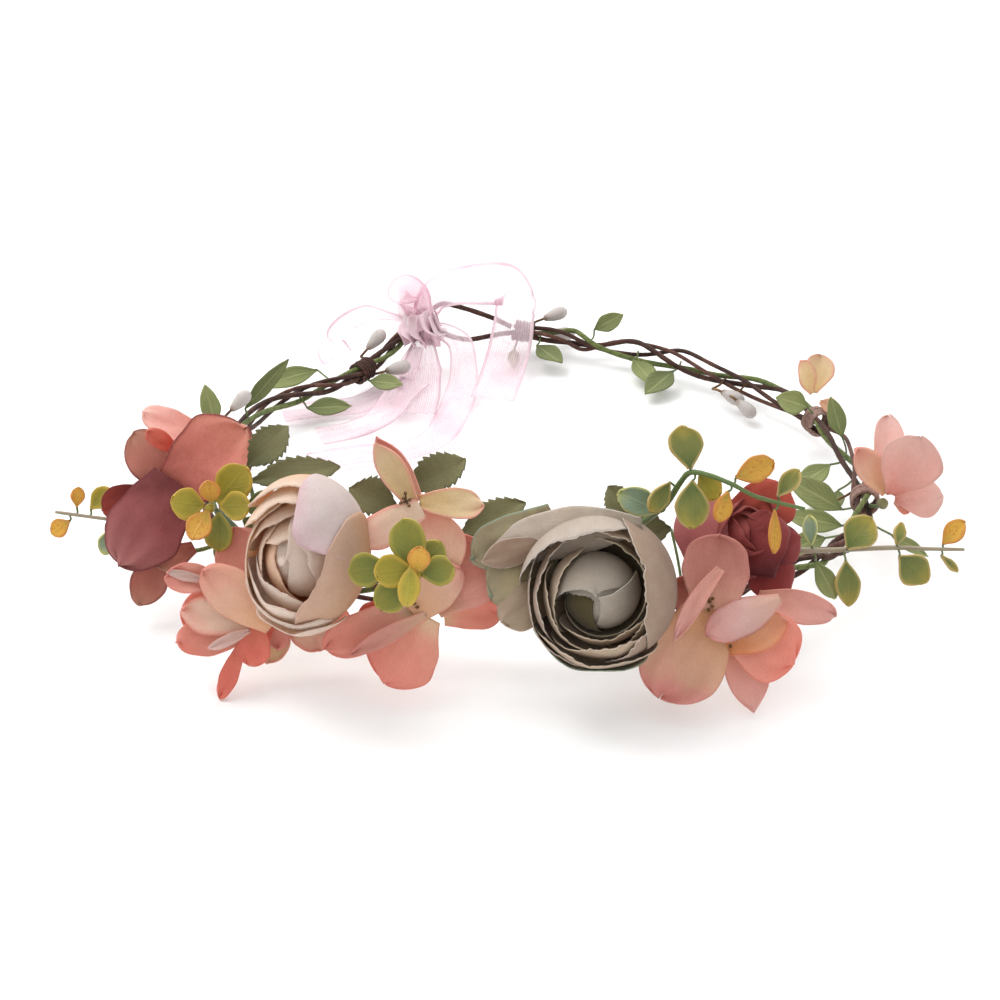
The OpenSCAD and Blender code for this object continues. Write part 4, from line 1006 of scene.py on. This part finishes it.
P.make("serrated_look", ["serrated_leaves"], ROOT)

# ---------- taupe ranunculus ----------
TM, TA, TE = [15.5, -96, 34], -8, 27
P = Piece()
ball(P, TM, TA, TE, 9.0, mat["taupe_bud"])
cup(P, TM, TA, TE, [(12.4, 0, 180, 176, 80, "taupe_deep")], frill=1.0, flare=0.0, squash=0.9)
cup(P, TM, TA, TE, [(10.5, 98, 96, 124, 2, "taupe_bud"), (9.9, -32, 68, 120, 8, "taupe_bud"),
    (9.4, 222, 56, 120, 8, "taupe_dark")], frill=3.0, fray=2.0, flare=0.0, round_off=0.5)
P.make("taupe_core_look", ["taupe_ranunculus_core"], ROOT)
P = Piece()
cup(P, TM, TA, TE, [
    (13.0, 170, 66, 150, 54, "taupe"), (13.4, -75, 70, 150, 58, "taupe"),
    (13.8, 60, 66, 150, 74, "taupe_deep"),
    (15.0, 215, 64, 150, 60, "taupe"), (15.4, -20, 60, 150, 66, "taupe")],
    squash=0.95, frill=3.0, fray=2.2, flare=0.02)
P.make("taupe_inner_look", ["taupe_ranunculus_inner_petals"], ROOT)
P = Piece()
cup(P, TM, TA, TE, [
    (17.0, 175, 64, 150, 60, "taupe_pink"), (17.2, -75, 64, 150, 55, "taupe"),
    (17.8, 80, 60, 150, 60, "taupe"),
    (19.0, 205, 60, 120, 70, "taupe_pink"), (19.4, -95, 56, 118, 64, "taupe"),
    (18.5, -40, 44, 118, 60, "taupe_pink")], squash=0.95, frill=3.0, fray=2.0, flare=0.02)
cup(P, TM, TA, TE, [(19.9, 16, 64, 108, 42, "taupe_pink"), (20.3, 118, 60, 104, 54, "taupe_pale"),
                    (20.3, -90, 40, 108, 76, "sage"),
                    (19.9, 245, 40, 112, 82, "sage")],
    squash=0.95, frill=2.4, fray=1.4, flare=0.02, round_off=0.5)
lay(P, TM, [
    (10.5, 17.5, 7, 190, 40.5, 14, "taupe_pale", dict(tilt=-15, cup=-0.35, ruffle=0.5, neck=0.25, bend=0.14,
      widest=0.5, point=0.6, rows=30, cols=20, fray=0.3)),
    (-12, 20, -2, 209, 24, 13, "sage", dict(tilt=-6, cup=-0.2, ruffle=0.7, fray=0.4)),
    (-13, 13, 0, 196, 18, 7, "taupe_pink", dict(tilt=-4, cup=-0.2, ruffle=0.5, point=0.7)),
    (-12, 9, -3, 213, 19, 17, "sage", dict(cup=-0.2, ruffle=0.7, neck=0.7, fray=0.4)),
    (-13, 1, -2, 214, 15, 12, "taupe", dict(cup=-0.2, ruffle=0.7, neck=0.7, fray=0.4))])
P.make("taupe_outer_look", ["taupe_ranunculus_outer_petals"], ROOT)

# ---------- arching sprig ----------
sprig("arching", "arching_sprig",
      [[26, -70, 38], [32.5, -76, 48], [36, -80, 57], [38.5, -82, 61.5], [43, -84, 62], [49, -86, 60.5],
       [56, -86, 56.5], [68, -86, 53]],
      70, (0.95, 0.5), "stem", 0.04, 0.6, 0.7, 0.2, 0.5, [
          ([38.5, -82, 62.6, 95, 0, 11, 9, 10], "sprig"), ([39, -84.5, 60.6, 270, 0, 12, 9, 0], "sprig"),
          ([33.6, -78.6, 56.6, 225, 0, 9, 5.5, 20], "sprig"),
          ([41, -81, 61, -45, 0, 8, 6.5, -20], "boxwood_yellow"),
          ([31.5, -78.5, 47.5, 152, 0, 12, 7.5, 10], "sprig_grey"),
          ([48, -88, 59.5, 242, 0, 8, 5, 20], "boxwood_orange"),
          ([50, -84.5, 61.5, 22, 0, 10.5, 7, 0], "boxwood_orange"),
          ([61, -85, 56.2, 62, 0, 8.5, 5, -20], "sprig"),
          ([60, -88, 54, 255, 0, 11, 3.6, 30], "boxwood_orange")])

# ---------- rose ----------
RM, RA, RE, RR = [54, -73, 38], 20, 45, 11.5
P = Piece()
ball(P, RM, RA, RE, 6.0, mat["rose"])
bloom(P, RM, RA, RE, RR, [(0.50, 3, 80, 12, 112, 50, mat["rose"])], squash=1.1, frill=1.5)
P.make("rose_core_look", ["burgundy_rose_core"], ROOT)
P = Piece()
bloom(P, RM, RA, RE, RR, [(0.62, 3, 74, 30, 112, 80, mat["rose"]),
    (0.74, 3, 70, 48, 112, 140, mat["rose"])], frill=3.0, flare=0.12)
lay(P, RM, [
    (4, 2, 4, 48, 12, 11, "rose_orange", dict(tilt=-20, cup=-0.3, ruffle=0.8)),
    (6, -5, 5, 22, 9.5, 11, "rose", dict(tilt=-20, cup=-0.3, ruffle=0.8)),
    (3, -7, 5, -52, 13, 13, "rose", dict(tilt=-16, cup=-0.3, ruffle=0.7, point=0.7)),
    (-5, 3, 5, 36, 17, 9, "rose_orange", dict(tilt=-14, cup=-0.2, ruffle=0.7)),
    (3.5, -11.5, 7.5, 84, 17, 13, "rose", dict(tilt=-6, cup=-0.3, neck=0.6, rows=26)),
    (-4.5, -13.5, 8, 107, 25, 20, "rose_mauve", dict(tilt=-12, cup=-0.35, neck=0.7, rows=28, cols=22))])
P.make("rose_look", ["burgundy_rose_petals"], ROOT)

# ---------- right flowers ----------
floret("right_floret_look", "right_floret_petals", [43, -89, 27.5], [
    (1.4, -2.3, -1, 150, 12, 10, "dusty_pink", dict(ruffle=0.7)),
    (1.4, -2.8, 4, 84, 19.5, 18.5, "dusty_pink", dict(tilt=4, cup=0.3, ruffle=1.0, rows=28, cols=22)),
    (2.5, -1.6, 3, 239, 27.5, 23, "cream_blush", dict(tilt=2, cup=0.2, ruffle=1.3, rows=30, cols=26,
      widest=0.7, notch=0.05)),
    (3.6, 8, 8, 237, 22, 4.6, "pale_rose", dict(tilt=2, cup=0.6, ruffle=0.7, point=0.8, bend=0.16))])
floret("apricot_look", "apricot_floret_petals", [50, -97, 18], [
    (7, 13, -4, -15, 20.5, 8.6, "pale_rose", dict(tilt=2, cup=0.3, ruffle=0.8, neck=0.3, fray=0.3)),
    (2.5, 0, -2, -80, 17.5, 12, "pale_rose", dict(cup=0.3, ruffle=0.7, neck=0.6, point=0.95, widest=0.42,
      fray=0.2)),
    (0, 7, 0, -37, 19.5, 18.5, "coral", dict(tilt=2, cup=0.3, ruffle=0.9, neck=0.6, rows=28, cols=22)),
    (-1.5, -0.6, 2.6, 27, 17, 9, "apricot", dict(tilt=0, cup=0.5, ruffle=0.5, neck=0.4)),
    (12, 12.5, 5, 207, 21, 10, "hood", dict(tilt=3, cup=-0.45, neck=0.3, widest=0.48, fray=0.3, rows=26))])
sprig("long", "long_sprig",
      [[66, -68, 29], [71, -69, 29.5], [77.5, -68, 29], [94, -66, 28.5], [104, -65, 27.5],
       [113.5, -63, 26]],
      50, (0.95, 0.45), "stem_grey", 0.04, 0.55, 0.6, 0.2, 0.6, [
          ([81.5, -69, 30, 58, 0, 10.5, 9, -10], "sprig"), ([81, -71, 27.6, 268, 0, 12, 7, 15], "sprig"),
          ([95, -66, 29.4, 65, 0, 6, 3.5, 20], "sprig"), ([95.5, -68.5, 27.4, -42, 0, 10, 8.5, 0], "sprig"),
          ([107.5, -63.5, 28, 52, 0, 8.5, 5.5, -10], "boxwood_orange"),
          ([107, -66, 26, -50, 0, 6.5, 2.4, 20], "sprig"),
          ([72, -69, 31, 95, 0, 8, 4, 0], "sprig_grey"),
          ([73, -71.5, 27.5, -65, 0, 11, 5.5, 10], "garland")])

# ---------- stamens and wire stems ----------
P = Piece()
for C, az, el, n in [([-34.5, -81, 52], 0, 35, 5), ([-34, -89, 25], 5, 27, 4), ([43, -88, 27.5], 0, 15, 9),
        ([50, -94, 18], 8, 20, 5)]:
    M = facing(az, el)
    for k in range(n):
        a, b = rng.uniform(0, 6.28), rng.uniform(0.8, 2.2)
        tip = np.array([b * math.cos(a), b * math.sin(a), rng.uniform(4.5, 6.5)])
        line = smooth([[0, 0, -1], tip * np.array([0.35, 0.35, 0.5]), tip], 10) @ M.T + np.array(C, float)
        P.tube(line, np.append(np.full(9, 0.22), [0.5, 0.4]), mat["fibre"], 7)
P.make("stamens_look", ["stamens"], ROOT)
P = Piece()
for a, b in [([-97.5, -47, 36], [-92, -38, 18]), ([-77, -83, 20.5], [-72, -63, 18]),
             ([-34.5, -79.5, 51], [-33.5, -75, 22]),
             ([-34, -89.5, 24], [-33, -78, 20]), ([43, -86, 26.8], [42, -74, 20]),
             ([50, -94, 17], [49, -73, 18]),
             ([-58, -80, 33], [-55, -70, 22]), ([14, -87, 29], [13, -79, 20]),
             ([-92.5, -22, 36], [-91, -18, 15]), ([-100, -50, 17], [-88, -44, 16])]:
    a, b = np.array(a, float), np.array(b, float)
    P.tube(smooth([a, (a + b) / 2 + np.array([0.8, 0, -0.8]), b], 14), 0.6, mat["stem_tape"], 8, bumpy=0.05)
P.make("stems_look", ["flower_stems"], ROOT)
for name, body, route, spots in pips:
    P = Piece()
    for x, y, z, angle, el in spots:
        foot = facing(0, el) @ turn("z", angle) @ np.array([-3.0, 0, -0.6]) + np.array([x, y, z])
        stalk(P, foot, smooth(route, 300), 0.35, "fibre")
    P.make(name + "_stalks", [], body)

# ---------- table, light, camera ----------
N = Nodes("table")
place = N.new("TexCoord").outputs["Object"]
tone = N.ramp(N.noise(place, 30.0, 3.0), "0.3 #f6f6f6 0.7 #fbfbfb")
table_material = N.done(N.shader(tone, 0.7))
bpy.ops.mesh.primitive_plane_add(size=8, location=(0, 0, 0))
floor = bpy.context.object
floor.name = "table"
floor.data.materials.append(table_material)

world = bpy.data.worlds.new("studio")
bpy.context.scene.world = world
world.use_nodes = True
world.node_tree.nodes["Background"].inputs[0].default_value = (1, 1, 1, 1)
tree = world.node_tree
way = tree.nodes.new("ShaderNodeTexCoord")
dot = tree.nodes.new("ShaderNodeVectorMath")
dot.operation = "DOT_PRODUCT"
dot.inputs[1].default_value = (-0.1, 0.65, 0.75)
span = tree.nodes.new("ShaderNodeMapRange")
span.inputs["From Min"].default_value = -0.7
span.inputs["From Max"].default_value = 0.8
span.inputs["To Min"].default_value = 0.3
span.inputs["To Max"].default_value = 1.3
tree.links.new(way.outputs["Generated"], dot.inputs[0])
tree.links.new(dot.outputs["Value"], span.inputs["Value"])
tree.links.new(span.outputs["Result"], tree.nodes["Background"].inputs[1])


def lamp(name, place, size, power):
    data = bpy.data.lights.new(name, "AREA")
    data.size = size
    data.energy = power
    obj = bpy.data.objects.new(name, data)
    obj.location = place
    obj.rotation_mode = "QUATERNION"
    obj.rotation_quaternion = (-Vector(place)).to_track_quat("-Z", "Y")
    bpy.context.scene.collection.objects.link(obj)


lamp("key", (-0.6, 0.35, 1.3), 0.8, 9)
lamp("fill", (0.7, -1.1, 0.7), 1.0, 1.0)
lamp("back", (0.3, 1.2, 1.0), 1.0, 5)

look = Vector((RING[0] / 1000, RING[1] / 1000, 0.013))
e = math.radians(FACE)
back = Vector((0, -math.cos(e), math.sin(e)))
cam = bpy.data.cameras.new("camera")
cam.sensor_width = 36
cam.lens = 112.9
cam.shift_x, cam.shift_y = -0.04, -0.03
camera = bpy.data.objects.new("camera", cam)
camera.location = look + back * CAMERA_AWAY
camera.rotation_mode = "QUATERNION"
camera.rotation_quaternion = (-back).to_track_quat("-Z", "Y")
bpy.context.scene.collection.objects.link(camera)
bpy.context.scene.camera = camera
bpy.context.scene.view_settings.view_transform = "Standard"
